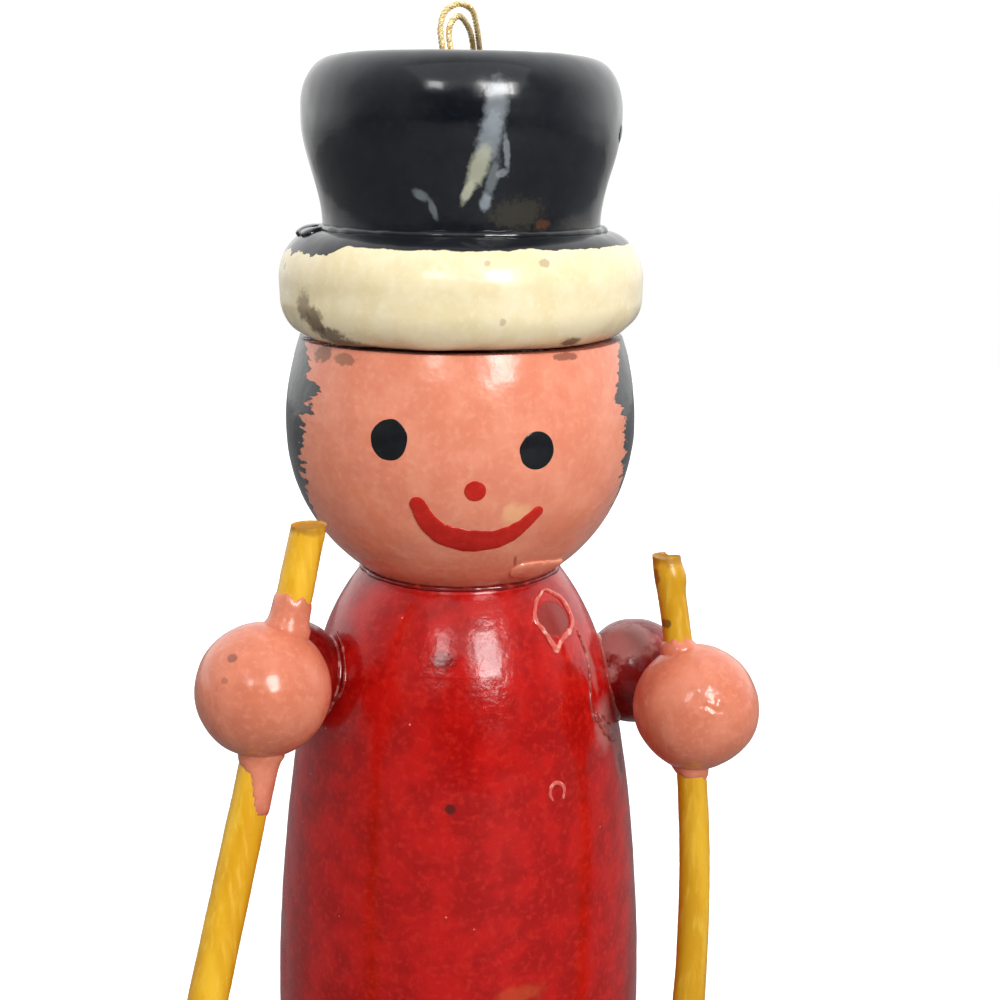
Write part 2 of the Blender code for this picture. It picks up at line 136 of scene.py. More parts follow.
class NodeSheet:
    """Lays out the shader nodes of one material around a Principled shader."""

    def __init__(self, name: str) -> None:
        """Start an empty sheet.

        Args:
            name: Material name.
        """
        self.material = bpy.data.materials.new(name)
        self.material.use_nodes = True
        self.tree = self.material.node_tree
        self.shader = self.tree.nodes["Principled BSDF"]
        self.place = self.tree.nodes.new("ShaderNodeTexCoord").outputs["Object"]

    def node(self, kind: str, **settings: object) -> bpy.types.Node:
        """Add a node and set its properties.

        Args:
            kind: Blender's node type.
            **settings: Properties of the node.

        Returns:
            The new node.
        """
        made = self.tree.nodes.new(kind)
        for key, value in settings.items():
            setattr(made, key, value)
        return made

    def feed(self, socket: Socket, value: object) -> None:
        """Link a socket, or set its constant.

        Args:
            socket: Input to feed.
            value: Another node's output, or a constant.
        """
        if isinstance(value, Socket):
            self.tree.links.new(value, socket)
        else:
            socket.default_value = value

    def math(self, operation: str, first: object, second: object = 0.0) -> Socket:
        """Add a Math node.

        Args:
            operation: Blender's operation name.
            first: First value or socket.
            second: Second value or socket.

        Returns:
            The result.
        """
        made = self.node("ShaderNodeMath", operation=operation)
        self.feed(made.inputs[0], first)
        self.feed(made.inputs[1], second)
        return made.outputs[0]

    def add(self, base: object, extra: object, share: object) -> Socket:
        """Add a share of one value to another."""
        return self.math("ADD", base, self.math("MULTIPLY", extra, share))

    def axes(self) -> bpy.types.NodeOutputs:
        """Object coordinates as outputs X, Y and Z."""
        split = self.node("ShaderNodeSeparateXYZ")
        self.feed(split.inputs[0], self.place)
        return split.outputs

    def band(self, value: object, low: float, high: float) -> Socket:
        """Ease from 0 at low to 1 at high, whichever is larger.

        Args:
            value: Driving value.
            low: Where the result is 0.
            high: Where the result is 1.

        Returns:
            The eased share.
        """
        made = self.node("ShaderNodeMapRange", interpolation_type="SMOOTHSTEP")
        self.feed(made.inputs["Value"], value)
        flipped = low > high
        made.inputs["From Min"].default_value = min(low, high)
        made.inputs["From Max"].default_value = max(low, high)
        made.inputs["To Min"].default_value = 1.0 if flipped else 0.0
        made.inputs["To Max"].default_value = 0.0 if flipped else 1.0
        return made.outputs["Result"]

    def mix(self, share: object, first: object, second: object) -> Socket:
        """Mix two colours.

        Args:
            share: Share of the second.
            first: Colour or socket.
            second: Colour or socket.

        Returns:
            The mixed colour.
        """
        made = self.node("ShaderNodeMix", data_type="RGBA")
        self.feed(made.inputs[0], share)
        for socket, value in ((made.inputs[6], first), (made.inputs[7], second)):
            self.feed(socket, (*value, 1.0) if isinstance(value, tuple) else value)
        return made.outputs[2]

    def blend(self, share: object, first: object, second: object) -> Socket:
        """Mix two numbers.

        Args:
            share: Share of the second.
            first: Number or socket.
            second: Number or socket.

        Returns:
            The mixed number.
        """
        made = self.node("ShaderNodeMix", data_type="FLOAT")
        for socket, value in zip(made.inputs[:1] + made.inputs[2:4], (share, first, second)):
            self.feed(socket, value)
        return made.outputs[0]

    def mapped(
        self,
        stretch: Triple = PLAIN,
        centre: Triple = (0.0, 0.0, 0.0),
        turn: Triple = (0.0, 0.0, 0.0),
        about_centre: bool = False,
    ) -> Socket:
        """Object coordinates, stretched or centred on a place.

        Args:
            stretch: Scale of each axis.
            centre: Shift, or the place that becomes the origin.
            turn: Euler angles in radians.
            about_centre: True to put the origin at centre and divide by stretch.

        Returns:
            The mapped vector.
        """
        made = self.node("ShaderNodeMapping", vector_type="TEXTURE" if about_centre else "POINT")
        self.feed(made.inputs["Vector"], self.place)
        made.inputs["Location"].default_value = centre
        made.inputs["Rotation"].default_value = turn
        made.inputs["Scale"].default_value = stretch
        return made.outputs[0]

    def noise(self, size: float, detail: float = 2.0, stretch: Triple = PLAIN, shift: float = 0.0) -> Socket:
        """Noise of 0 to 1 with lumps of a size.

        Args:
            size: Lump size in metres.
            detail: Octaves.
            stretch: Scale of each axis before the noise.
            shift: Moves the pattern, in metres.

        Returns:
            The noise value.
        """
        made = self.node("ShaderNodeTexNoise")
        self.feed(made.inputs["Vector"], self.mapped(stretch, (shift, -shift, shift)))
        made.inputs["Scale"].default_value = 1.0 / size
        made.inputs["Detail"].default_value = detail
        return made.outputs["Fac"]

    def cells(self, size: float) -> tuple[Socket, Socket]:
        """Cells of a size.

        Args:
            size: Cell size in metres.

        Returns:
            The distance to the nearest cell's middle, in cells, and that cell's random colour.
        """
        made = self.node("ShaderNodeTexVoronoi")
        self.feed(made.inputs["Vector"], self.mapped())
        made.inputs["Scale"].default_value = 1.0 / size
        return made.outputs["Distance"], made.outputs["Color"]

    def finish(
        self,
        colour: object,
        roughness: object,
        height: object,
        relief: float,
        coat: float = 0.0,
        metallic: float = 0.0,
        gleam: float = 0.5,
    ) -> bpy.types.Material:
        """Wire the shader.

        Args:
            colour: Base colour.
            roughness: Roughness.
            height: Bump height of 0 to 1, or above where marks stand proud.
            relief: Depth in metres of a height of 1.
            coat: Weight of the clear coat.
            metallic: Metal share.
            gleam: Specular level.

        Returns:
            The finished material.
        """
        self.feed(self.shader.inputs["Base Color"], colour)
        self.feed(self.shader.inputs["Roughness"], roughness)
        bump = self.node("ShaderNodeBump")
        bump.inputs["Distance"].default_value = relief
        self.feed(bump.inputs["Height"], height)
        self.feed(self.shader.inputs["Normal"], bump.outputs["Normal"])
        self.shader.inputs["Coat Weight"].default_value = coat
        self.shader.inputs["Coat Roughness"].default_value = 0.06
        self.shader.inputs["Specular IOR Level"].default_value = gleam
        self.shader.inputs["Metallic"].default_value = metallic
        return self.material


@dataclass(frozen=True)
class Mark:
    """A stain, chip, smear, painted shade or painted sheen in the paint, as an ellipsoid round a place on the
    surface.

    Attributes:
        centre: Place in millimetres.
        radii: Half-sizes in millimetres.
        colour: Colour inside.
        strength: Share of the colour inside.
        turn: Euler angles in degrees.
        soft: Width of the faded edge as a share of the radius.
        ragged: How far noise pushes the edge, as a share of the radius.
        grain: Size of that noise in millimetres.
        roughness: Roughness inside, or None to keep the paint's.
        proud: Height of the mark in relief units.
    """

    centre: Triple
    radii: Triple
    colour: Colour
    strength: float = 1.0
    turn: Triple = (0.0, 0.0, 0.0)
    soft: float = 0.35
    ragged: float = 0.8
    grain: float = 0.7
    roughness: float | None = None
    proud: float = 0.0

    def mask(self, sheet: NodeSheet) -> Socket:
        """Share of the mark at each point.

        Args:
            sheet: Sheet to lay it on.

        Returns:
            The mark's share times its strength.
        """
        centre = tuple(x * MM for x in self.centre)
        radii = tuple(x * MM for x in self.radii)
        turn = tuple(math.radians(x) for x in self.turn)
        reach = sheet.node("ShaderNodeVectorMath", operation="LENGTH")
        sheet.feed(reach.inputs[0], sheet.mapped(radii, centre, turn, about_centre=True))
        push = sheet.noise(self.grain * MM, 4.0, shift=self.centre[0] * MM)
        edge = sheet.add(reach.outputs["Value"], sheet.math("SUBTRACT", push, 0.5), self.ragged)
        inside = sheet.band(edge, 1.0 + self.soft / 2, 1.0 - self.soft / 2)
        return sheet.math("MULTIPLY", inside, self.strength)


@dataclass(frozen=True)
class Overcoat:
    """A second paint that covers a region of the first."""

    colour: Colour = screen(24, 27, 32)
    roughness: float = 0.2

    def mask(self, sheet: NodeSheet) -> Socket:
        """Share of the second paint at each point."""
        raise NotImplementedError


@dataclass(frozen=True)
class TopPaint(Overcoat):
    """Hat paint brushed over the top of the brim, ragged and lower on the figure's -X side.

    Attributes:
        line: Height of the edge in metres.
        droop: How much lower it runs on that side.
    """

    line: float = 0.08512
    droop: float = 0.0009

    def mask(self, sheet: NodeSheet) -> Socket:
        """Share of the hat paint at each point."""
        axes = sheet.axes()
        aside = sheet.band(axes["X"], -0.0098, -0.0128)
        edge = sheet.add(sheet.math("SUBTRACT", axes["Z"], self.line), aside, self.droop)
        ragged = sheet.math("SUBTRACT", sheet.noise(0.0016, 3.0, (1.0, 1.0, 0.4)), 0.5)
        edge = sheet.add(edge, ragged, sheet.blend(aside, 0.0006, 0.0024))
        return sheet.band(edge, -0.00004, 0.00004)


@dataclass(frozen=True)
class Hair(Overcoat):
    """Hair brushed round the back of the head, with a jagged edge at the temples.

    Attributes:
        middle: Azimuth of the face's middle in degrees.
        temples: (height in metres, half-angle of the bare face in degrees), from low to high.
        nape: Height of the lower edge in metres.
    """

    middle: float = 4.0
    temples: tuple[tuple[float, float], ...] = (
        (0.0520, 86.0),
        (0.0560, 79.0),
        (0.0588, 70.5),
        (0.0628, 63.5),
        (0.0664, 62.5),
        (0.0690, 61.0),
        (0.0716, 55.5),
        (0.0735, 60.0),
        (0.0757, 71.0),
    )
    nape: float = 0.0556

    def mask(self, sheet: NodeSheet) -> Socket:
        """Share of the hair at each point."""
        axes = sheet.axes()
        azimuth = sheet.math("ARCTAN2", axes["X"], sheet.math("MULTIPLY", axes["Y"], -1.0))
        away = sheet.math("ABSOLUTE", sheet.math("SUBTRACT", azimuth, math.radians(self.middle)))
        low, high = self.temples[0][0], self.temples[-1][0]
        ramp = sheet.node("ShaderNodeValToRGB")
        share = sheet.node("ShaderNodeMapRange")
        sheet.feed(share.inputs["Value"], axes["Z"])
        share.inputs["From Min"].default_value = low
        share.inputs["From Max"].default_value = high
        sheet.feed(ramp.inputs[0], share.outputs["Result"])
        while len(ramp.color_ramp.elements) < len(self.temples):
            ramp.color_ramp.elements.new(0.5)
        for stop, (height, angle) in zip(ramp.color_ramp.elements, self.temples):
            stop.position = (height - low) / (high - low)
            stop.color = (*[math.radians(angle) / math.pi] * 3, 1.0)
        edge = sheet.math("SUBTRACT", away, sheet.math("MULTIPLY", ramp.outputs["Color"], math.pi))
        strokes = sheet.math("SUBTRACT", sheet.noise(0.0011, 3.0, (0.35, 0.35, 1.5)), 0.5)
        tufts = sheet.math("SUBTRACT", sheet.noise(0.0042, 2.0), 0.5)
        edge = sheet.add(sheet.add(edge, strokes, 0.34), tufts, 0.22)
        sides = sheet.band(edge, -0.012, 0.012)
        drop = sheet.add(axes["Z"], strokes, 0.0014)
        return sheet.math("MULTIPLY", sides, sheet.band(drop, self.nape - 0.00006, self.nape + 0.00006))


@dataclass(frozen=True)
class Enamel:
    """Gloss enamel brushed on turned wood.

    Attributes:
        name: Material name.
        paint: Usual colour.
        deep: Colour where the coat is thick.
        thin: Colour where the coat is thin.
        gloss: Roughness of clean paint.
        coat: Weight of the clear top coat.
        gleam: Specular level.
        mottle: Size of the colour patches in metres.
        streak: Scale of the patches along Z, below 1 for long streaks.
        peel: Size of the orange-peel lumps in metres.
        peel_depth: Their share of the relief.
        rings: Share of the relief taken by turning lines.
        speck: Colour of the fine specks.
        specks: Share of cells with a speck.
        relief: Depth in metres of a bump of 1.
        overcoat: Second paint, or None.
        marks: Stains, chips, smears, painted shade and painted sheen.
        bare: Height in metres below which the wood is bare, or None.
    """

    name: str
    paint: Colour
    deep: Colour
    thin: Colour
    gloss: float = 0.16
    coat: float = 0.2
    gleam: float = 0.32
    mottle: float = 0.0030
    streak: float = 1.0
    peel: float = 0.0007
    peel_depth: float = 0.35
    rings: float = 0.10
    speck: Colour = screen(235, 170, 150)
    specks: float = 0.05
    relief: float = 0.00006
    overcoat: Overcoat | None = None
    marks: tuple[Mark, ...] = ()
    bare: float | None = None

    def material(self) -> bpy.types.Material:
        """Build the material.

        Returns:
            The procedural material.
        """
        sheet = NodeSheet(self.name)
        patch = sheet.band(sheet.noise(self.mottle, 4.0, (1.0, 1.0, self.streak)), 0.38, 0.66)
        grain = sheet.band(sheet.noise(self.mottle * 0.22, 3.0, (1.0, 1.0, self.streak), 0.004), 0.46, 0.74)
        colour = sheet.mix(patch, self.deep, self.paint)
        colour = sheet.mix(sheet.math("MULTIPLY", grain, 0.5), colour, self.thin)
        peel = sheet.noise(self.peel, 2.0, shift=0.002)
        sag = sheet.noise(self.peel * 5.0, 1.0, shift=0.003)
        turning = sheet.noise(0.0005, 2.0, (0.04, 0.04, 1.0))
        height = sheet.math("MULTIPLY", peel, self.peel_depth)
        height = sheet.add(sheet.add(height, sag, self.peel_depth * 2.2), turning, self.rings)
        dulled = sheet.band(sheet.noise(0.0045, 3.0, shift=0.006), 0.35, 0.75)
        rough = sheet.blend(dulled, self.gloss, self.gloss * 1.7)

        reach, tone = sheet.cells(0.0009)
        chosen = sheet.math("LESS_THAN", tone, self.specks)
        dust = sheet.math("MULTIPLY", sheet.band(reach, 0.15, 0.07), chosen)
        colour = sheet.mix(sheet.math("MULTIPLY", dust, 0.7), colour, self.speck)
        height = sheet.add(height, dust, 0.5)

        if self.overcoat:
            over = self.overcoat.mask(sheet)
            colour = sheet.mix(over, colour, self.overcoat.colour)
            rough = sheet.blend(over, rough, self.overcoat.roughness)
            height = sheet.add(height, over, 0.7)
        for mark in self.marks:
            mask = mark.mask(sheet)
            colour = sheet.mix(mask, colour, mark.colour)
            if mark.roughness is not None:
                rough = sheet.blend(mask, rough, mark.roughness)
            if mark.proud:
                height = sheet.add(height, mask, mark.proud)
        if self.bare is not None:
            level = sheet.add(sheet.axes()["Z"], sheet.noise(0.0012, 3.0), 0.0004)
            wood = sheet.band(level, self.bare + 0.00012, self.bare)
            rays = sheet.band(sheet.noise(0.0006, 3.0, (1.0, 0.16, 1.0)), 0.35, 0.7)
            colour = sheet.mix(wood, colour, sheet.mix(rays, screen(172, 128, 84), screen(214, 178, 130)))
            rough = sheet.blend(wood, rough, 0.7)
        return sheet.finish(colour, rough, height, self.relief, self.coat, gleam=self.gleam)


@dataclass(frozen=True)
class RawWood:
    """Bare birch of the hidden dowel and pegs, with grain along one axis.

    Attributes:
        name: Material name.
        along: Scale of each axis, small along the grain.
    """

    name: str = "raw_birch"
    along: Triple = (1.0, 1.0, 0.08)

    def material(self) -> bpy.types.Material:
        """Build the material."""
        sheet = NodeSheet(self.name)
        grain = sheet.noise(0.0007, 4.0, self.along)
        pores = sheet.noise(0.00025, 2.0, self.along, 0.001)
        colour = sheet.mix(sheet.band(grain, 0.35, 0.7), screen(222, 190, 146), screen(188, 146, 98))
        colour = sheet.mix(sheet.band(pores, 0.6, 0.75), colour, screen(142, 100, 62))
        return sheet.finish(colour, sheet.blend(grain, 0.6, 0.78), pores, 0.00005)


@dataclass(frozen=True)
class GoldThread:
    """Metallic thread: gold film wound on a pale core.

    Attributes:
        name: Material name.
        film_and_sheen: Colour of the film.
        core: Colour where the core shows.
    """

    name: str = "gold_lame_thread"
    film_and_sheen: Colour = screen(244, 214, 132)
    core: Colour = screen(252, 242, 212)

    def material(self) -> bpy.types.Material:
        """Build the material."""
        sheet = NodeSheet(self.name)
        winding = sheet.noise(0.00016, 2.0)
        tone = sheet.noise(0.0011, 2.0, shift=0.004)
        colour = sheet.mix(sheet.band(winding, 0.42, 0.62), self.film_and_sheen, self.core)
        colour = sheet.mix(sheet.math("MULTIPLY", sheet.band(tone, 0.5, 0.72), 0.6), colour,
            screen(196, 152, 70))
        return sheet.finish(colour, sheet.blend(winding, 0.24, 0.42), winding, 0.00004, metallic=0.4)


@dataclass(frozen=True)
class Glue:
    """Old clear glue and paint that filled a seam.

    Attributes:
        name: Material name.
        body: Main colour.
        pale: Colour of the dried crests.
        roughness: Roughness.
    """

    name: str
    body: Colour
    pale: Colour
    roughness: float = 0.18

    def material(self) -> bpy.types.Material:
        """Build the material."""
        sheet = NodeSheet(self.name)
        streak = sheet.noise(0.0009, 3.0)
        fleck = sheet.noise(0.0003, 2.0, shift=0.002)
        colour = sheet.mix(sheet.band(streak, 0.5, 0.72), self.body, self.pale)
        height = sheet.add(sheet.math("MULTIPLY", streak, 0.6), fleck, 0.4)
        return sheet.finish(colour, self.roughness, height, 0.00006, coat=0.4)


# Forms


@dataclass(frozen=True)
class Turned:
    """A form turned on the lathe.

    Attributes:
        outline: (radius, height) pairs in metres, from the top of the axis down the outside.
        centre: Place of the axis foot.
    """

    outline: tuple[Pin, ...]
    centre: Triple = (0.0, 0.0, 0.0)

    def radius(self, height: float) -> tuple[float, float]:
        """Radius at a height.

        Args:
            height: Height in metres above the centre.

        Returns:
            The radius, and its rate of change with height.
        """
        side = [p for p in self.outline if p[0] > 0]
        for (r1, z1), (r0, z0) in zip(side, side[1:]):
            if z0 <= height <= z1 and z1 - z0 > 1e-9:
                return r0 + (r1 - r0) * (height - z0) / (z1 - z0), (r1 - r0) / (z1 - z0)
        near = min(side, key=lambda p: abs(p[1] - height))
        return near[0], 0.0

    def on(self, azimuth: float, height: float, lift: float) -> Vector:
        """Point on the surface, or above it.

        Args:
            azimuth: Angle in radians from -Y towards +X.
            height: Height in metres above the centre.
            lift: Distance outwards along the normal.

        Returns:
            The point.
        """
        step = 0.00015
        radius = self.radius(height)[0]
        slope = (self.radius(height + step)[0] - self.radius(height - step)[0]) / (2 * step)
        scale = 1 / math.hypot(1, slope)
        out, up = lift * scale, -slope * lift * scale
        reach = radius + out
        place = Vector((reach * math.sin(azimuth), -reach * math.cos(azimuth), height + up))
        return Vector(self.centre) + place

    def mesh(self, steps: int) -> BMesh:
        """Spin the outline.

        Args:
            steps: Steps of a full turn.

        Returns:
            A closed bmesh.
        """
        form = bmesh.new()
        points = [form.verts.new(Vector(self.centre) + Vector((r, 0.0, z))) for r, z in self.outline]
        for first, second in zip(points, points[1:]):
            form.edges.new((first, second))
        bmesh.ops.spin(
            form,
            geom=form.verts[:] + form.edges[:],
            cent=self.centre,
            axis=(0.0, 0.0, 1.0),
            angle=2 * math.pi,
            steps=steps,
            use_merge=True,
        )
        bmesh.ops.remove_doubles(form, verts=form.verts[:], dist=0.000002)
        return form


def arc(centre: Pin, radii: Pin, start: float, end: float, steps: int) -> list[Pin]:
    """Points on an elliptical arc.

    Args:
        centre: Middle as (radius, height).
        radii: Half-sizes.
        start: First angle in degrees from the outward direction.
        end: Last angle.
        steps: Number of steps.

    Returns:
        The points, both ends with them.
    """
    angles = [math.radians(start + (end - start) * i / steps) for i in range(steps + 1)]
    return [(centre[0] + radii[0] * math.cos(a), centre[1] + radii[1] * math.sin(a)) for a in angles]


def ball_outline(radius: float, steps: int = 96) -> tuple[Pin, ...]:
    """Half-circle outline of a ball."""
    return ((0.0, radius), *arc((0.0, 0.0), (radius, radius), 90, -90, steps)[1:-1], (0.0, -radius))


def catmull_rom(points: Sequence[Vector], samples: int) -> list[Vector]:
    """Smooth line through points.

    Args:
        points: Route.
        samples: Samples in each span.

    Returns:
        The line's points, both ends with them.
    """
    ends = [points[0] * 2 - points[1], *points, points[-1] * 2 - points[-2]]
    line: list[Vector] = []
    for i in range(1, len(ends) - 2):
        before, start, end, after = ends[i - 1 : i + 3]
        for k in range(samples):
            t = k / samples
            bend = (2 * before - 5 * start + 4 * end - after) * t**2
            twist = (3 * start - before - 3 * end + after) * t**3
            line.append(0.5 * (2 * start + (end - before) * t + bend + twist))
    return [*line, points[-1].copy()]


def roughen(form: BMesh, layers: Layers, seed: float = 0.0) -> None:
    """Push a mesh in and out along its normals.

    Args:
        form: Mesh to change.
        layers: (lump size, depth) pairs in metres.
        seed: Shifts the pattern.
    """
    form.normal_update()
    for vertex in form.verts:
        push = sum(depth * wobble(vertex.co, size, seed + i) for i, (size, depth) in enumerate(layers))
        vertex.co += vertex.normal * push


def dab(
    form: BMesh,
    on: Turned,
    pins: Sequence[Pin],
    widths: Sequence[float],
    lift: float,
    ragged: float = 0.0,
    seed: float = 0.0,
    segments: int = 20,
    rings: int = 72,
    sink: float = 0.00012,
    tall: float = 1.0,
) -> None:
    """Lay a stroke or drop of paint on a turned surface.

    Args:
        form: Mesh to add it to.
        on: Surface that it lies on.
        pins: (azimuth in degrees, height in millimetres) along its middle.
        widths: Half-width in millimetres at each pin.
        lift: Thickness in metres.
        ragged: Share by which noise changes the width.
        seed: Shifts that noise.
        segments: Faces round the stroke.
        rings: Rings along it.
        sink: Depth of its underside below the surface.
        tall: Stretch of a round drop along the height.
    """
    spots = [Vector((math.radians(a), h * MM, w * MM)) for (a, h), w in zip(pins, widths)]
    line = catmull_rom(spots, 12) if len(spots) > 1 else spots * 2
    reach = [0.0]
    for first, second in zip(line, line[1:]):
        radius = on.radius(first.y)[0]
        reach.append(reach[-1] + math.hypot((second.x - first.x) * radius, second.y - first.y))
    total, ends = reach[-1], (line[0].z, line[-1].z)
    made = bmesh.ops.create_uvsphere(form, u_segments=segments, v_segments=rings, radius=1.0)
    for vertex in made["verts"]:
        x, y, z = vertex.co
        ring = math.sqrt(max(1e-12, 1 - z * z))
        across, up = (x / ring, y / ring) if ring > 1e-5 else (0.0, 0.0)
        walked = (z + 1) / 2 * (total + ends[0] + ends[1]) - ends[0]
        beyond = min(0.0, walked) + max(0.0, walked - total)
        held = min(max(walked, 0.0), total)
        i = max(k for k in range(len(reach)) if reach[k] <= held + 1e-12)
        i = min(i, len(line) - 2)
        span = max(1e-9, reach[i + 1] - reach[i])
        share = (held - reach[i]) / span
        spot = line[i].lerp(line[i + 1], share) if total > 0 else line[0]
        radius, slope = on.radius(spot.y)
        way = line[i + 1] - line[i] if total > 0 else Vector((0.0, 1.0, 0.0))
        level = Vector((way.x * radius, way.y)).normalized() if total > 0 else Vector((0.0, 1.0))
        end_width = ends[0] if beyond < 0 else ends[1]
        fade = math.sqrt(max(0.0, 1 - (beyond / end_width) ** 2)) if beyond else 1.0
        width = spot.z * fade
        width *= 1 + ragged * wobble(Vector((walked, across * 0.0004, seed)), 0.0007, seed)
        sideways = across * width
        right = level.x * beyond - level.y * sideways
        rise = (level.y * beyond + level.x * sideways) * tall
        high = lift * math.sqrt(up) * fade if up > 0 else sink * up
        vertex.co = on.on(spot.x + right / radius, spot.y + rise / math.hypot(1, slope), high)


def level_seam(radius: float, height: float) -> Seam:
    """Round seam at a height, for ring_of.

    Args:
        radius: Radius of the seam in metres.
        height: Its height.

    Returns:
        The seam's place, outward direction and upward direction for an angle.
    """

    def line(angle: float) -> tuple[Vector, Vector, Vector]:
        """Place and directions at an angle."""
        out = Vector((math.cos(angle), math.sin(angle), 0.0))
        return out * radius + Vector((0.0, 0.0, height)), out, UP

    return line


def ring_of(form: BMesh, line: Seam, wide: float, high: float, seed: float, ragged: float) -> None:
    """Lay a closed bead of glue or paint round a seam.

    Args:
        form: Mesh to add it to.
        line: Gives the place, the sideways and the upward direction for an angle.
        wide: Half-width in metres.
        high: Half-height in metres.
        seed: Shifts the noise.
        ragged: Share by which noise changes the size.
    """
    major = 3.0
    upright = Matrix.Translation((major, 0, 0)) @ Matrix.Rotation(math.pi / 2, 4, "X")
    circle = bmesh.ops.create_circle(form, segments=12, radius=1.0, matrix=upright)["verts"]
    edges = list({e for v in circle for e in v.link_edges})
    before = set(form.verts) - set(circle)
    turn = {"cent": (0, 0, 0), "axis": UP, "angle": 2 * math.pi, "steps": 120}
    bmesh.ops.spin(form, geom=circle + edges, use_merge=True, **turn)
    for vertex in form.verts:
        if vertex not in before:
            angle = math.atan2(vertex.co.y, vertex.co.x)
            across, up = math.hypot(vertex.co.x, vertex.co.y) - major, vertex.co.z
            place, side, top = line(angle)
            size = 1 + ragged * wobble(place, 0.0013, seed)
            vertex.co = place + side * (across * wide * size) + top * (up * high * size)


def rod_along(line: Sequence[Vector], radius: Callable[[float, float], float], segments: int) -> BMesh:
    """A closed rod that follows a line.

    Args:
        line: Middle of the rod.
        radius: Radius for a share of the length and an angle.
        segments: Faces round it.

    Returns:
        The rod's bmesh.
    """
    form = bmesh.new()
    bmesh.ops.create_cone(form, cap_ends=True, segments=segments, radius1=1.0, radius2=1.0, depth=2.0)
    sides = [e for e in form.edges if abs(e.verts[0].co.z - e.verts[1].co.z) > 1]
    bmesh.ops.subdivide_edges(form, edges=sides, cuts=len(line) - 2, use_grid_fill=True)
    way = (line[-1] - line[0]).normalized()
    across = way.cross(Vector((0.0, 1.0, 0.0))).normalized()
    over = across.cross(way).normalized()
    for vertex in form.verts:
        share = (vertex.co.z + 1) / 2
        angle = math.atan2(vertex.co.y, vertex.co.x)
        at = share * (len(line) - 1)
        i = min(int(at), len(line) - 2)
        size = radius(share, angle)
        middle = line[i].lerp(line[i + 1], at - i)
        vertex.co = middle + across * (size * math.cos(angle)) + over * (size * math.sin(angle))
    return form


def piece(
    name: str,
    form: BMesh,
    material: bpy.types.Material,
    replaces: Sequence[str] = (),
    sharp: float = 50.0,
) -> bpy.types.Object:
    """Turn a bmesh into a finished piece on the rigid body.

    Args:
        name: Piece name.
        form: Mesh, in place. It is freed.
        material: Finish.
        replaces: Frame nodes that it stands for.
        sharp: Angle in degrees above which an edge stays sharp.

    Returns:
        The object.
    """
    bmesh.ops.recalc_face_normals(form, faces=form.faces[:])
    mesh = bpy.data.meshes.new(name)
    form.to_mesh(mesh)
    form.free()
    mesh.shade_smooth()
    mesh.set_sharp_from_angle(angle=math.radians(sharp))
    mesh.materials.append(material)
    made = bpy.data.objects.new(name, mesh)
    bpy.context.scene.collection.objects.link(made)
    if replaces:
        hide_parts(*replaces)
    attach(made, BODY)
    LOG.info("%s: %d faces, stands for %s", name, len(mesh.polygons), ", ".join(replaces) or "nothing")
    return made


def dress(node: str, material: bpy.types.Material) -> None:
    """Give a frame node that stays its procedural material.

    Args:
        node: Node name.
        material: Finish.
    """
    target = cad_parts[node]
    target.data.materials.clear()
    target.data.materials.append(material)
    LOG.info("%s: kept, with %s", node, material.name)


# Studio


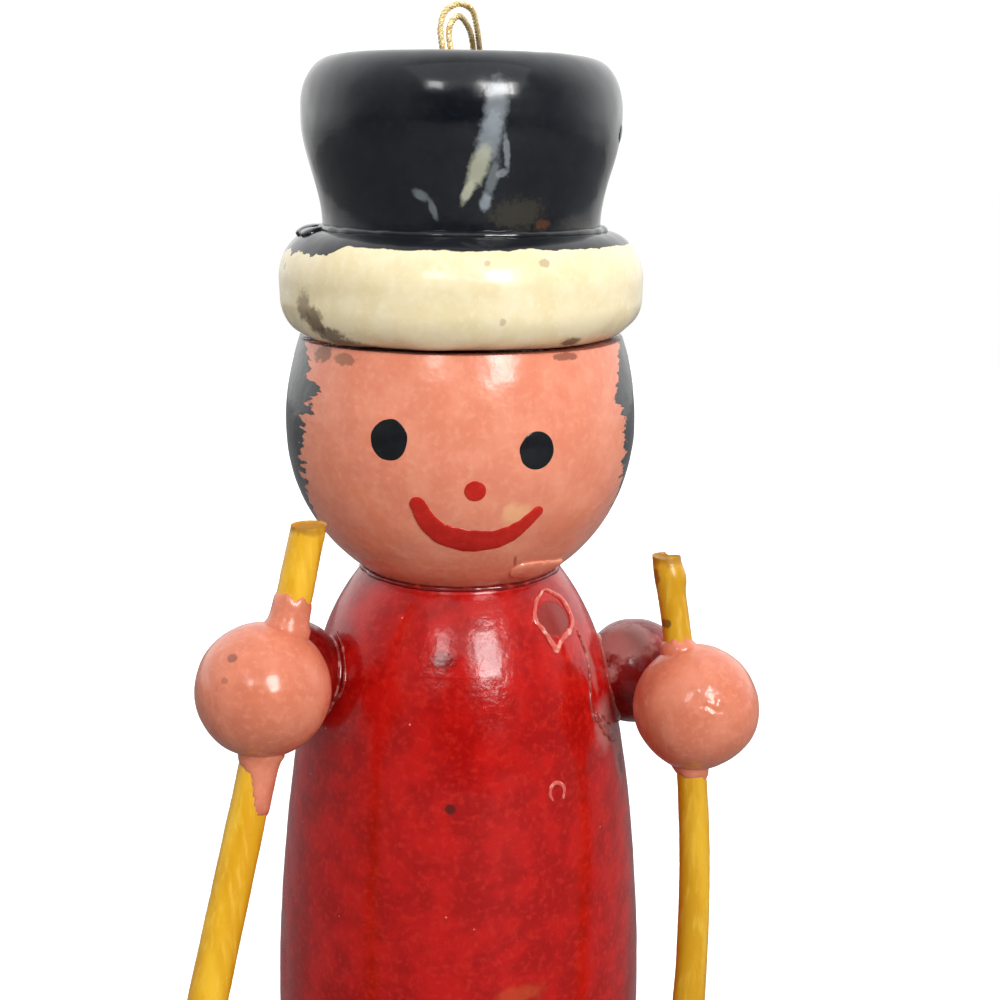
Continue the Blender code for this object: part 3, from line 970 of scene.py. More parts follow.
@dataclass
class Studio:
    """Camera, window lights, floor and surroundings.

    Attributes:
        eye: Camera place in metres.
        pitch: Angle below level in degrees.
        roll: Roll in degrees.
        lens: Focal length in millimetres on a 36 mm sensor.
        aim: Point that the lights face.
        floor_r: Radius of the floor.
        floor_glow: Glow of the floor where the camera sees it.
    """

    eye: Triple = (0.0041, -0.1472, 0.0933)
    pitch: float = 13.3
    roll: float = 0.55
    lens: float = 52.38
    aim: Triple = (0.0, 0.0, 0.060)
    floor_r: float = 0.55
    floor_glow: float = 0.45

    def camera(self) -> None:
        """Set up the camera."""
        data = bpy.data.cameras.new("camera")
        data.lens, data.sensor_width = self.lens, 36.0
        data.clip_start, data.clip_end = 0.005, 50.0
        made = bpy.data.objects.new("camera", data)
        pitch = Matrix.Rotation(math.radians(90 - self.pitch), 4, "X")
        roll = Matrix.Rotation(math.radians(self.roll), 4, "Z")
        made.matrix_world = Matrix.Translation(self.eye) @ (pitch @ roll)
        bpy.context.scene.collection.objects.link(made)
        bpy.context.scene.camera = made

    def window(
        self, name: str, azimuth: float, rise: float, reach: float, size: Pin, power: float, tint: Colour
    ) -> None:
        """Hang one rectangular soft light.

        Args:
            name: Light name.
            azimuth: Angle from -Y towards +X in degrees.
            rise: Angle above level in degrees.
            reach: Distance from the aim in metres.
            size: Width and height in metres.
            power: Watts.
            tint: Colour.
        """
        data = bpy.data.lights.new(name, "AREA")
        data.shape, data.size, data.size_y = "RECTANGLE", *size
        data.energy, data.color = power, tint
        made = bpy.data.objects.new(name, data)
        a, e = math.radians(azimuth), math.radians(rise)
        way = Vector((math.sin(a) * math.cos(e), -math.cos(a) * math.cos(e), math.sin(e)))
        made.location = Vector(self.aim) + way * reach
        made.rotation_mode = "QUATERNION"
        made.rotation_quaternion = way.to_track_quat("Z", "Y")
        bpy.context.scene.collection.objects.link(made)

    def surroundings(self) -> None:
        """White surroundings that light softly, darkest on the camera's side."""
        world = bpy.data.worlds.new("surroundings")
        bpy.context.scene.world = world
        world.use_nodes = True
        tree = world.node_tree
        split = tree.nodes.new("ShaderNodeSeparateXYZ")
        tree.links.new(tree.nodes.new("ShaderNodeTexCoord").outputs["Generated"], split.inputs[0])

        def ease(axis: str, low: float, high: float, dim: float, bright: float) -> Socket:
            """Strength that eases along one axis."""
            made = tree.nodes.new("ShaderNodeMapRange")
            made.interpolation_type = "SMOOTHSTEP"
            tree.links.new(split.outputs[axis], made.inputs["Value"])
            for name, value in (("From Min", low), ("From Max", high), ("To Min", dim), ("To Max", bright)):
                made.inputs[name].default_value = value
            return made.outputs["Result"]

        def join(operation: str, first: Socket, second: Socket) -> Socket:
            """Combine two strengths."""
            made = tree.nodes.new("ShaderNodeMath")
            made.operation = operation
            tree.links.new(first, made.inputs[0])
            tree.links.new(second, made.inputs[1])
            return made.outputs[0]

        walls = join("ADD", ease("Y", -0.45, 0.5, 0.03, 1.15), ease("X", 0.0, 0.9, 0.0, 0.20))
        walls = join("ADD", walls, ease("X", -0.9, 0.0, 0.30, 0.0))
        room = join("ADD", walls, ease("Z", 0.25, 0.9, 0.0, 0.26))
        room = join("MULTIPLY", room, ease("Z", -0.25, 0.08, 0.22, 1.0))
        seen = tree.nodes.new("ShaderNodeLightPath").outputs["Is Camera Ray"]
        tree.links.new(join("MAXIMUM", room, seen), tree.nodes["Background"].inputs["Strength"])
        tree.nodes["Background"].inputs["Color"].default_value = WHITE

    def floor(self) -> None:
        """Plain pale floor, with a soft glow of its own so that it fades into the white."""
        form = bmesh.new()
        bmesh.ops.create_circle(form, cap_ends=True, segments=128, radius=self.floor_r)
        mesh = bpy.data.meshes.new("floor")
        form.to_mesh(mesh)
        form.free()
        sheet = NodeSheet("pale_floor")
        shade = sheet.noise(0.08, 2.0)
        seen = sheet.node("ShaderNodeLightPath").outputs["Is Camera Ray"]
        colour = sheet.mix(seen, screen(112, 112, 114), screen(246, 246, 247))
        mesh.materials.append(sheet.finish(colour, 0.7, shade, 0.00005))
        sheet.shader.inputs["Emission Color"].default_value = WHITE
        sheet.feed(sheet.shader.inputs["Emission Strength"], sheet.math("MULTIPLY", seen, self.floor_glow))
        made = bpy.data.objects.new("floor", mesh)
        bpy.context.scene.collection.objects.link(made)

    def build(self) -> None:
        """Set up everything round the ornament."""
        view = bpy.context.scene.view_settings
        view.view_transform, view.look = "Standard", "None"
        self.window("window_right", 28.0, 27.5, 0.60, (0.18, 0.215), 2.5, (1.0, 0.99, 0.98))
        self.window("window_left", -16.0, 31.0, 0.60, (0.10, 0.12), 0.40, (0.98, 0.99, 1.0))
        self.window("ceiling", 8.0, 54.0, 0.70, (0.85, 0.65), 1.05, (1.0, 0.99, 0.97))
        self.surroundings()
        self.floor()


# Hanging loop


@dataclass
class HangingLoop:
    """Doubled gold thread, three plies twisted together, from the hole in the crown and back into it.

    Attributes:
        diameter: Thread diameter in metres.
        length: Length of the thread in metres. Not used.
        pitch: Length of one twist.
        plies: Number of plies.
        ply: Radius of one ply.
        top: Height of the crown's top, from which the route's heights are measured.
        outer: Route in millimetres from the hole, over the arch and down the back.
        end: Lowest point of the loop.
        inner: Route back up and into the hole.
    """

    diameter: float = 0.00065
    length: float = 0.150
    pitch: float = 0.00125
    plies: int = 3
    ply: float = 0.000165
    top: float = 0.1025
    outer: tuple[Triple, ...] = (
        (-1.62, 0, -5.4), (-1.62, 0, -3.6), (-1.64, 0, -1.6), (-1.76, 0, 0.1),
        (-1.96, 0, 1.4), (-2.08, 0.2, 2.9), (-1.7, 0.8, 4.3), (-0.9, 1.4, 5),
        (-0.1, 2.1, 5.2), (0.9, 3.3, 4.7), (1.3, 4.7, 3.4), (1.5, 6.3, 2.1),
        (1.62, 8.2, 1.1), (1.7, 10.8, 0.8), (1.78, 13.4, 0.4), (1.9, 15.5, -0.8),
        (1.85, 16.6, -2.8), (1.85, 17, -7.5), (1.9, 17.4, -12), (2, 18.4, -16.4),
        (2.2, 19, -20.5), (2.45, 19, -27), (2.7, 18.8, -34), (2.8, 18.7, -41),
        (2.15, 18.7, -46.2),
    )
    end: Triple = (0.6, 18.7, -48.2)
    inner: tuple[Triple, ...] = (
        (-0.95, 18.7, -46.2), (-1.6, 18.7, -41), (-1.45, 18.8, -34), (-0.9, 19, -27),
        (-0.3, 19, -20.5), (0.2, 18.4, -16.4), (0.55, 17.4, -12), (0.75, 17, -7.5),
        (0.85, 16.6, -2.8), (0.9, 15.5, -0.8), (0.92, 13.4, 0.4), (0.92, 10.8, 0.8),
        (0.9, 8.4, 1.1), (0.84, 6.6, 2), (0.6, 5, 3), (0.1, 3.6, 3.8),
        (-0.4, 2.4, 4.1), (-0.95, 1.3, 3.6), (-1.26, 0.4, 2.6), (-1.18, 0, 1.4),
        (-0.92, 0, 0.1), (-0.8, 0, -1.6), (-0.78, 0, -3.6), (-0.78, 0, -5.4),
    )

    def route(self, samples: int) -> list[Vector]:
        """Centreline of the thread.

        Args:
            samples: Samples in each span.

        Returns:
            Its points in the row frame.
        """
        lift = Vector((0.0, 0.0, self.top))
        points = [Vector([x * MM for x in p]) + lift for p in (*self.outer, self.end, *self.inner)]
        return catmull_rom(points, samples)

    def frames(self, line: Sequence[Vector]) -> list[tuple[Vector, Vector]]:
        """Two directions square to the line at each point, without twist.

        Args:
            line: Centreline.

        Returns:
            A pair of unit vectors for each point.
        """
        made: list[tuple[Vector, Vector]] = []
        side = Vector((1.0, 0.0, 0.0))
        for i in range(len(line)):
            way = (line[min(i + 1, len(line) - 1)] - line[max(i - 1, 0)]).normalized()
            side = (side - way * side.dot(way)).normalized()
            made.append((side.copy(), way.cross(side)))
        return made

    def strand(self, line: Sequence[Vector], number: int) -> bpy.types.Mesh:
        """One ply as a mesh.

        Args:
            line: Closely sampled centreline.
            number: Which ply.

        Returns:
            The ply's mesh.
        """
        curve = bpy.data.curves.new("ply", "CURVE")
        curve.dimensions = "3D"
        curve.bevel_depth, curve.bevel_resolution, curve.use_fill_caps = self.ply, 1, True
        spline = curve.splines.new("POLY")
        spline.points.add(len(line) - 1)
        walked, offset = 0.0, self.diameter / 2 - self.ply
        for i, (point, (side, over)) in enumerate(zip(line, self.frames(line))):
            walked += (point - line[i - 1]).length if i else 0.0
            angle = 2 * math.pi * (walked / self.pitch + number / self.plies)
            spot = point + side * (offset * math.cos(angle)) + over * (offset * math.sin(angle))
            spline.points[i].co = (*spot, 1.0)
        holder = bpy.data.objects.new("ply", curve)
        bpy.context.scene.collection.objects.link(holder)
        mesh = bpy.data.meshes.new_from_object(holder.evaluated_get(bpy.context.evaluated_depsgraph_get()))
        bpy.data.objects.remove(holder, do_unlink=True)
        return mesh

    def build(self) -> None:
        gold = GoldThread().material()
        line = self.route(32)
        form = bmesh.new()
        for number in range(self.plies):
            form.from_mesh(self.strand(line, number))
        bmesh.ops.remove_doubles(form, verts=form.verts[:], dist=0.0000005)
        made = piece("gold_hanging_loop", form, gold, ["hanging_loop"])
        dress("loop_knot", gold)
        self.route(6)


# Hat


BROWN_DIRT = screen(96, 72, 52)
SMOKE = screen(160, 169, 176)


@dataclass
class Hat:
    """Cream brim with hat paint run over its top, and the flared crown.

    Attributes:
        brim_z: Foot of the brim in metres.
        brim_r: Its radius.
        brim_seat_r: Radius where its lower rounding starts.
        brim_h: Its height.
        brim_low_h: Height of the lower rounding.
        brim_high_h: Height of the upper rounding.
        brim_top_r: Radius where the upper rounding ends.
        crown_z: Foot of the crown.
        crown_r: Radius at its foot.
        lip_r: Radius at its lip.
        lip_z: Height of the lip above the foot.
        edge: Rounding of its upper edge.
        edge_h: Height of that rounding.
        crown_h: Its height.
        hole_r: Radius of the hole for the thread.
        hole_x: Place of that hole.
        hole_h: Its depth.
        hole_lip: Width over which its lip rounds in.
        brim_lumps: (size, depth) of the brim's unevenness.
        crown_lumps: The same for the crown.
        edge_dips: (depth, azimuth, spread in degrees) of the dips in the brim's lower edge.
        edge_ripple: Depth of the ripple in that edge.
    """

    brim_z: float = 0.0760
    brim_r: float = 0.0181
    brim_seat_r: float = 0.0149
    brim_h: float = 0.0102
    brim_low_h: float = 0.0036
    brim_high_h: float = 0.0048
    brim_top_r: float = 0.0141
    crown_z: float = 0.0865
    crown_r: float = 0.0138
    lip_r: float = 0.01565
    lip_z: float = 0.0108
    edge: float = 0.0033
    edge_h: float = 0.0046
    crown_h: float = 0.0160
    hole_r: float = 0.0014
    hole_x: float = -0.0012
    hole_h: float = 0.0030
    hole_lip: float = 0.0006
    brim_lumps: Layers = ((0.0060, 0.00009), (0.0019, 0.00003))
    crown_lumps: Layers = ((0.0070, 0.00010), (0.0022, 0.000035))
    edge_dips: tuple[Triple, ...] = ((0.00028, -42.0, 26.0), (-0.00012, 62.0, 30.0))
    edge_ripple: float = 0.00018

    @property
    def brim_form(self) -> Turned:
        """Turned form of the brim."""
        top = self.brim_z + self.brim_h
        high, low = (self.brim_top_r, top - self.brim_high_h), (self.brim_seat_r,
            self.brim_z + self.brim_low_h)
        upper = arc(high, (self.brim_r - self.brim_top_r, self.brim_high_h), 90, 0, 24)
        lower = arc(low, (self.brim_r - self.brim_seat_r, self.brim_low_h), 0, -90, 20)
        wall = [(self.brim_r, upper[-1][1] + (lower[0][1] - upper[-1][1]) * i / 6) for i in range(1, 6)]
        flat = [(self.brim_top_r * i / 8, top) for i in range(8)]
        seat = [(self.brim_seat_r * i / 8, self.brim_z) for i in range(7, -1, -1)]
        return Turned((*flat, *upper, *wall, *lower, *seat))

    @property
    def crown_form(self) -> Turned:
        """Turned form of the crown."""
        top = self.crown_z + self.crown_h
        flat = [((self.lip_r - self.edge) * i / 12, top) for i in range(12)]
        rounding = arc((self.lip_r - self.edge, top - self.edge_h), (self.edge, self.edge_h), 90, 0, 26)
        start, lip = rounding[-1][1], self.crown_z + self.lip_z
        side = [(self.lip_r, start + (lip - start) * i / 4) for i in range(1, 4)]
        for i in range(41):
            t = i / 40
            ease = (1 + math.cos(math.pi * t)) / 2
            reach = self.crown_r + (self.lip_r - self.crown_r) * ease
            side.append((reach, self.crown_z + self.lip_z * (1 - t)))
        seat = [(self.crown_r * i / 8, self.crown_z) for i in range(7, -1, -1)]
        return Turned((*flat, *rounding, *side, *seat))

    def brim_finish(self) -> Enamel:
        """Cream enamel, browned with grime along its lower edge, with painted shade on its underside and on
        its left front.
        """
        dirt = {"colour": BROWN_DIRT, "roughness": 0.45, "grain": 0.6, "soft": 0.75}
        return Enamel(
            "cream_gloss",
            paint=screen(250, 236, 196),
            deep=screen(243, 226, 180),
            thin=screen(253, 243, 212),
            gloss=0.2,
            peel=0.0009,
            peel_depth=0.3,
            speck=screen(150, 120, 84),
            specks=0.035,
            overcoat=TopPaint(),
            marks=(
                Mark((-14.5, -10.9, 79.4), (1.1, 1.1, 1.5), strength=0.85, turn=(0, 20, 0), ragged=1.5,
                    **dirt),
                Mark((-13.2, -12.1, 78.1), (1.1, 1.2, 1.4), strength=0.85, turn=(0, -20, 0), ragged=1.6,
                    **dirt),
                Mark((-11.6, -12.8, 76.9), (2.0, 1.5, 0.9), strength=0.8, ragged=1.7, **dirt),
                Mark((-9.0, -13.4, 76.1), (3.2, 1.8, 0.55), strength=0.8, ragged=1.4, **dirt),
                # Painted shade: a brown ring round the brim's underside, where it overhangs the head.
                Mark((0.0, 0.0, 75.9), (16.4, 16.4, 0.55), strength=0.55, ragged=0.5,
                    colour=screen(140, 104, 70), soft=0.6),
                Mark((10.6, -13.1, 76.6), (1.1, 1.2, 0.45), strength=0.85, ragged=1.2, **dirt),
                Mark((7.9, -15.6, 84.0), (0.55, 0.5, 0.4), screen(176, 152, 116), 0.6, ragged=1.2),
                Mark((2.8, -17.2, 84.1), (0.32, 0.4, 0.3), screen(176, 152, 116), 0.5, ragged=1.2),
                Mark((4.2, -17.6, 78.9), (0.3, 0.4, 0.35), screen(180, 158, 120), 0.5, ragged=1.2),
                Mark((-16.7, -6.4, 82.8), (0.4, 0.4, 0.3), screen(176, 148, 108), 0.6, ragged=1.2),
                # Painted shade: a soft darker cream patch on the brim's left front.
                Mark((-14.6, -10.4, 81.2), (4.0, 3.0, 2.2), screen(226, 206, 160), 0.35, soft=1.2, ragged=0.8,
                    grain=1.6),
            ),
        )

    def crown_finish(self) -> Enamel:
        """Blue-black enamel with a pale smear and grime at its foot."""
        smear = {"colour": SMOKE, "roughness": 0.34, "proud": 0.4, "soft": 0.8, "grain": 0.6}
        chalk = smear | {"colour": screen(196, 198, 174)}
        return Enamel(
            "blue_black_gloss",
            paint=screen(20, 24, 31),
            deep=screen(13, 17, 24),
            thin=screen(27, 32, 37),
            gloss=0.15,
            gleam=0.5,
            peel=0.0010,
            peel_depth=0.25,
            speck=screen(150, 156, 158),
            specks=0.012,
            marks=(
                Mark((3.45, -15.3, 97.6), (0.95, 1.5, 2.4), strength=0.5, turn=(0, 6, 0), ragged=0.8,
                    **smear),
                Mark((2.9, -15.2, 94.9), (1.0, 1.5, 2.2), strength=0.62, turn=(0, 12, 0), ragged=0.9,
                    **smear),
                Mark((1.9, -14.8, 92.3), (0.8, 1.5, 2.1), strength=0.75, turn=(0, 22, 0), ragged=1.0,
                    **chalk),
                Mark((0.95, -14.2, 90.2), (0.42, 1.5, 1.1), strength=0.8, turn=(0, 25, 0), ragged=0.9,
                    **chalk),
                Mark((3.1, -14.3, 91.2), (0.5, 1.5, 2.1), strength=0.42, turn=(0, 16, 0), ragged=1.3,
                    **smear),
                Mark((2.5, -13.8, 89.2), (0.5, 1.5, 0.7), strength=0.7, turn=(0, 8, 0), ragged=1.0, **smear),
                Mark((4.4, -14.5, 93.6), (0.28, 1.5, 1.6), strength=0.55, turn=(0, -4, 0), ragged=1.2,
                    **smear),
                Mark((4.0, -14.2, 91.8), (0.6, 1.5, 0.3), strength=0.55, turn=(0, -24, 0), ragged=1.2,
                    **smear),
                Mark((-3.3, -13.8, 89.8), (0.75, 1.5, 0.4), strength=0.4, turn=(0, 30, 0), ragged=0.9,
                    **smear),
                Mark((-2.2, -13.8, 88.6), (0.3, 1.5, 0.9), strength=0.35, turn=(0, -20, 0), ragged=0.9,
                    **smear),
                Mark((5.6, -12.8, 88.2), (2.8, 2.0, 1.3), screen(74, 68, 50), 0.42, soft=0.9, ragged=2.0,
                    grain=0.5, roughness=0.4),
                Mark((7.8, -11.4, 87.2), (0.7, 1.2, 0.45), screen(96, 54, 26), 0.6, soft=0.9, ragged=1.5,
                    grain=0.5, roughness=0.45),
                Mark((11.4, -8.2, 87.2), (2.4, 2.0, 0.7), screen(60, 54, 46), 0.4, soft=0.9, ragged=1.8,
                    grain=0.6, roughness=0.45),
            ),
        )

    def brim(self) -> None:
        """Brim with an uneven lower edge."""
        surface = self.brim_form
        form = surface.mesh(240)
        for vertex in form.verts:
            x, y, z = vertex.co
            radius = math.hypot(x, y)
            azimuth = math.degrees(math.atan2(x, -y))
            low = smooth((self.brim_z + 0.0044 - z) / 0.0040) * smooth((radius - 0.0152) / 0.0014)
            sag = sum(h * math.exp(-(((azimuth - at) / spread) ** 2)) for h, at, spread in self.edge_dips)
            vertex.co.z -= low * (sag + self.edge_ripple * wobble(vertex.co, 0.0026, 4.0))
        roughen(form, self.brim_lumps, 3.0)
        piece("cream_brim", form, self.brim_finish().material(), ["hat_brim"])

    def crown(self) -> None:
        """Crown with the hole for the thread, and the paint that filled its foot."""
        finish = self.crown_finish().material()
        surface = self.crown_form
        form = surface.mesh(224)
        roughen(form, self.crown_lumps, 8.0)
        for vertex in form.verts:
            reach = math.hypot(vertex.co.x - self.hole_x, vertex.co.y)
            if vertex.co.z > self.crown_z + self.crown_h - 0.001 and reach < self.hole_r:
                vertex.co.z -= self.hole_h * smooth((self.hole_r - reach) / self.hole_lip)
        dab(form, surface, [(81.4, 95.5)], [1.0], 0.00018, 0.2, 81.4, rings=24)
        piece("black_crown", form, finish, ["hat_crown"])

        brim, foot = self.brim_form, bmesh.new()
        ring_of(foot, level_seam(self.crown_r + 0.00002, self.crown_z - 0.00025), 0.00066, 0.00046, 2.0, 0.3)
        blobs = ((-84.0, 1.1, 0.00055), (-74.0, 0.9, 0.0004), (-96.0, 0.8, 0.0004), (150.0, 1.2, 0.0003))
        for azimuth, width, lift in blobs:
            ends = [(azimuth - 3, 85.9), (azimuth + 4, 85.95)]
            dab(foot, brim, ends, [width * 0.7, width], lift, 0.4, azimuth, rings=30)
        piece("crown_foot_paint", foot, finish)

    def build(self) -> None:
        """Make the hat."""
        self.brim()
        self.crown()


# Head


@dataclass
class Head:
    """Barrel head with painted hair and a plain painted face.

    Attributes:
        foot: Height of its seat in metres.
        radius: Its widest radius.
        seat_r: Radius of its seat.
        height: Its height.
        upper: Half-height of the curve above the widest line.
        lower: Half-height of the curve below it.
        lumps: (size, depth) of its unevenness.
    """

    foot: float = 0.0520
    radius: float = 0.01775
    seat_r: float = 0.0101
    height: float = 0.0237
    upper: float = 0.0226
    lower: float = 0.0178
    lumps: Layers = ((0.0065, 0.00011), (0.0018, 0.00003))

    @property
    def form(self) -> Turned:
        """Turned form of the head."""
        below = math.degrees(math.acos(self.seat_r / self.radius))
        widest = self.lower * math.sin(math.radians(below))
        above = math.degrees(math.asin((self.height - widest) / self.upper))
        centre = (0.0, self.foot + widest)
        top = arc(centre, (self.radius, self.upper), above, 0, 40)
        bottom = arc(centre, (self.radius, self.lower), 0, -below, 64)[1:]
        lid = [(top[0][0] * i / 10, self.foot + self.height) for i in range(10)]
        seat = [(self.seat_r * i / 6, self.foot) for i in range(5, -1, -1)]
        return Turned((*lid, *top, *bottom, *seat))

    def skin(self) -> Enamel:
        """Pink enamel with hair, grime and painted shade under the brim, painted shade above the neck and a
        pale patch by the mouth.
        """
        return Enamel(
            "skin_gloss",
            paint=screen(240, 152, 122),
            deep=screen(233, 140, 110),
            thin=screen(245, 166, 136),
            gloss=0.2,
            peel=0.0010,
            peel_depth=0.8,
            rings=0.05,
            speck=screen(206, 110, 84),
            specks=0.02,
            overcoat=Hair(colour=screen(54, 57, 58), roughness=0.22),
            marks=(
                # Painted shade: a dark brown ring round the head just under the brim.
                Mark((0.0, 0.0, 75.9), (17.4, 17.4, 0.42), screen(120, 56, 36), 0.75, soft=0.8, ragged=0.4),
                Mark((-13.3, -10.6, 75.1), (1.5, 1.5, 0.85), screen(126, 92, 66), 0.75, ragged=1.7, grain=0.9,
                    roughness=0.45),
                Mark((-10.6, -13.0, 74.8), (1.5, 1.3, 0.6), screen(140, 92, 66), 0.7, ragged=1.7, grain=0.9,
                    roughness=0.45),
                Mark((10.4, -13.4, 75.3), (1.6, 1.5, 0.4), screen(120, 66, 46), 0.7, ragged=1.3,
                    roughness=0.45),
                Mark((5.5, -15.8, 60.9), (1.25, 1.3, 1.15), screen(252, 198, 144), 0.6, soft=0.9, ragged=1.2,
                    grain=1.2),
                Mark((9.4, -13.0, 58.6), (3.4, 3.0, 1.8), screen(206, 116, 92), 0.35, soft=1.2, ragged=0.9,
                    grain=1.8),
                # Painted shade: a darker ring round the foot of the head, above the neck.
                Mark((0.0, 0.0, 52.4), (13.0, 13.0, 1.6), screen(190, 84, 60), 0.5, soft=1.0, ragged=0.3),
                Mark((5.6, -12.6, 55.5), (0.16, 0.8, 1.0), screen(150, 76, 54), 0.7, soft=0.7, ragged=0.8,
                    grain=0.5),
            ),
        )

    def face(self) -> None:
        """Eyes, nose and mouth as drops and one stroke of thick paint."""
        surface = self.form
        ink = Enamel("ink_gloss", screen(20, 22, 26), screen(14, 16, 20), screen(30, 33, 38), gloss=0.16,
            specks=0.0)
        lips = Enamel("lip_red_gloss", screen(202, 34, 20), screen(186, 24, 14), screen(212, 46, 28),
            gloss=0.2, specks=0.0)
        eyes = bmesh.new()
        dab(eyes, surface, [(-20.2, 67.99)], [1.84], 0.00013, 0.05, 1.0, tall=1.08, rings=40, segments=48)
        dab(eyes, surface, [(24.9, 67.00)], [1.72], 0.00012, 0.05, 5.0, tall=1.04, rings=40, segments=48)
        piece("painted_eyes", eyes, ink.material(), sharp=70.0)
        mouth = bmesh.new()
        dab(mouth, surface, [(6.0, 63.4)], [1.0], 0.00012, 0.06, 2.0, rings=32, segments=40)
        pins = [(-11.8, 61.95), (-9.2, 60.3), (-4.0, 58.85), (6.3, 58.2), (16.4, 58.55), (22.8, 59.75),
            (27.0, 61.0)]
        widths = [0.80, 0.95, 1.22, 1.34, 1.10, 0.76, 0.54]
        dab(mouth, surface, pins, widths, 0.00013, 0.10, 7.0, rings=150, segments=28)
        piece("painted_nose_and_mouth", mouth, lips.material(), sharp=70.0)

    def build(self) -> None:
        """Make the head, its face and the lump of paint at its chin."""
        surface, finish = self.form, self.skin().material()
        form = surface.mesh(256)
        roughen(form, self.lumps, 12.0)
        piece("pink_head", form, finish, ["head"])
        self.face()
        chin = bmesh.new()
        pins = [(30.0, 54.1), (36.0, 53.9), (43.0, 53.8), (51.0, 53.9)]
        dab(chin, surface, pins, [1.3, 1.6, 1.4, 0.8], 0.00034, 0.12, 3.0)
        roughen(chin, ((0.0024, 0.00012),), 2.0)
        piece("chin_paint_lump", chin, finish)


# Body


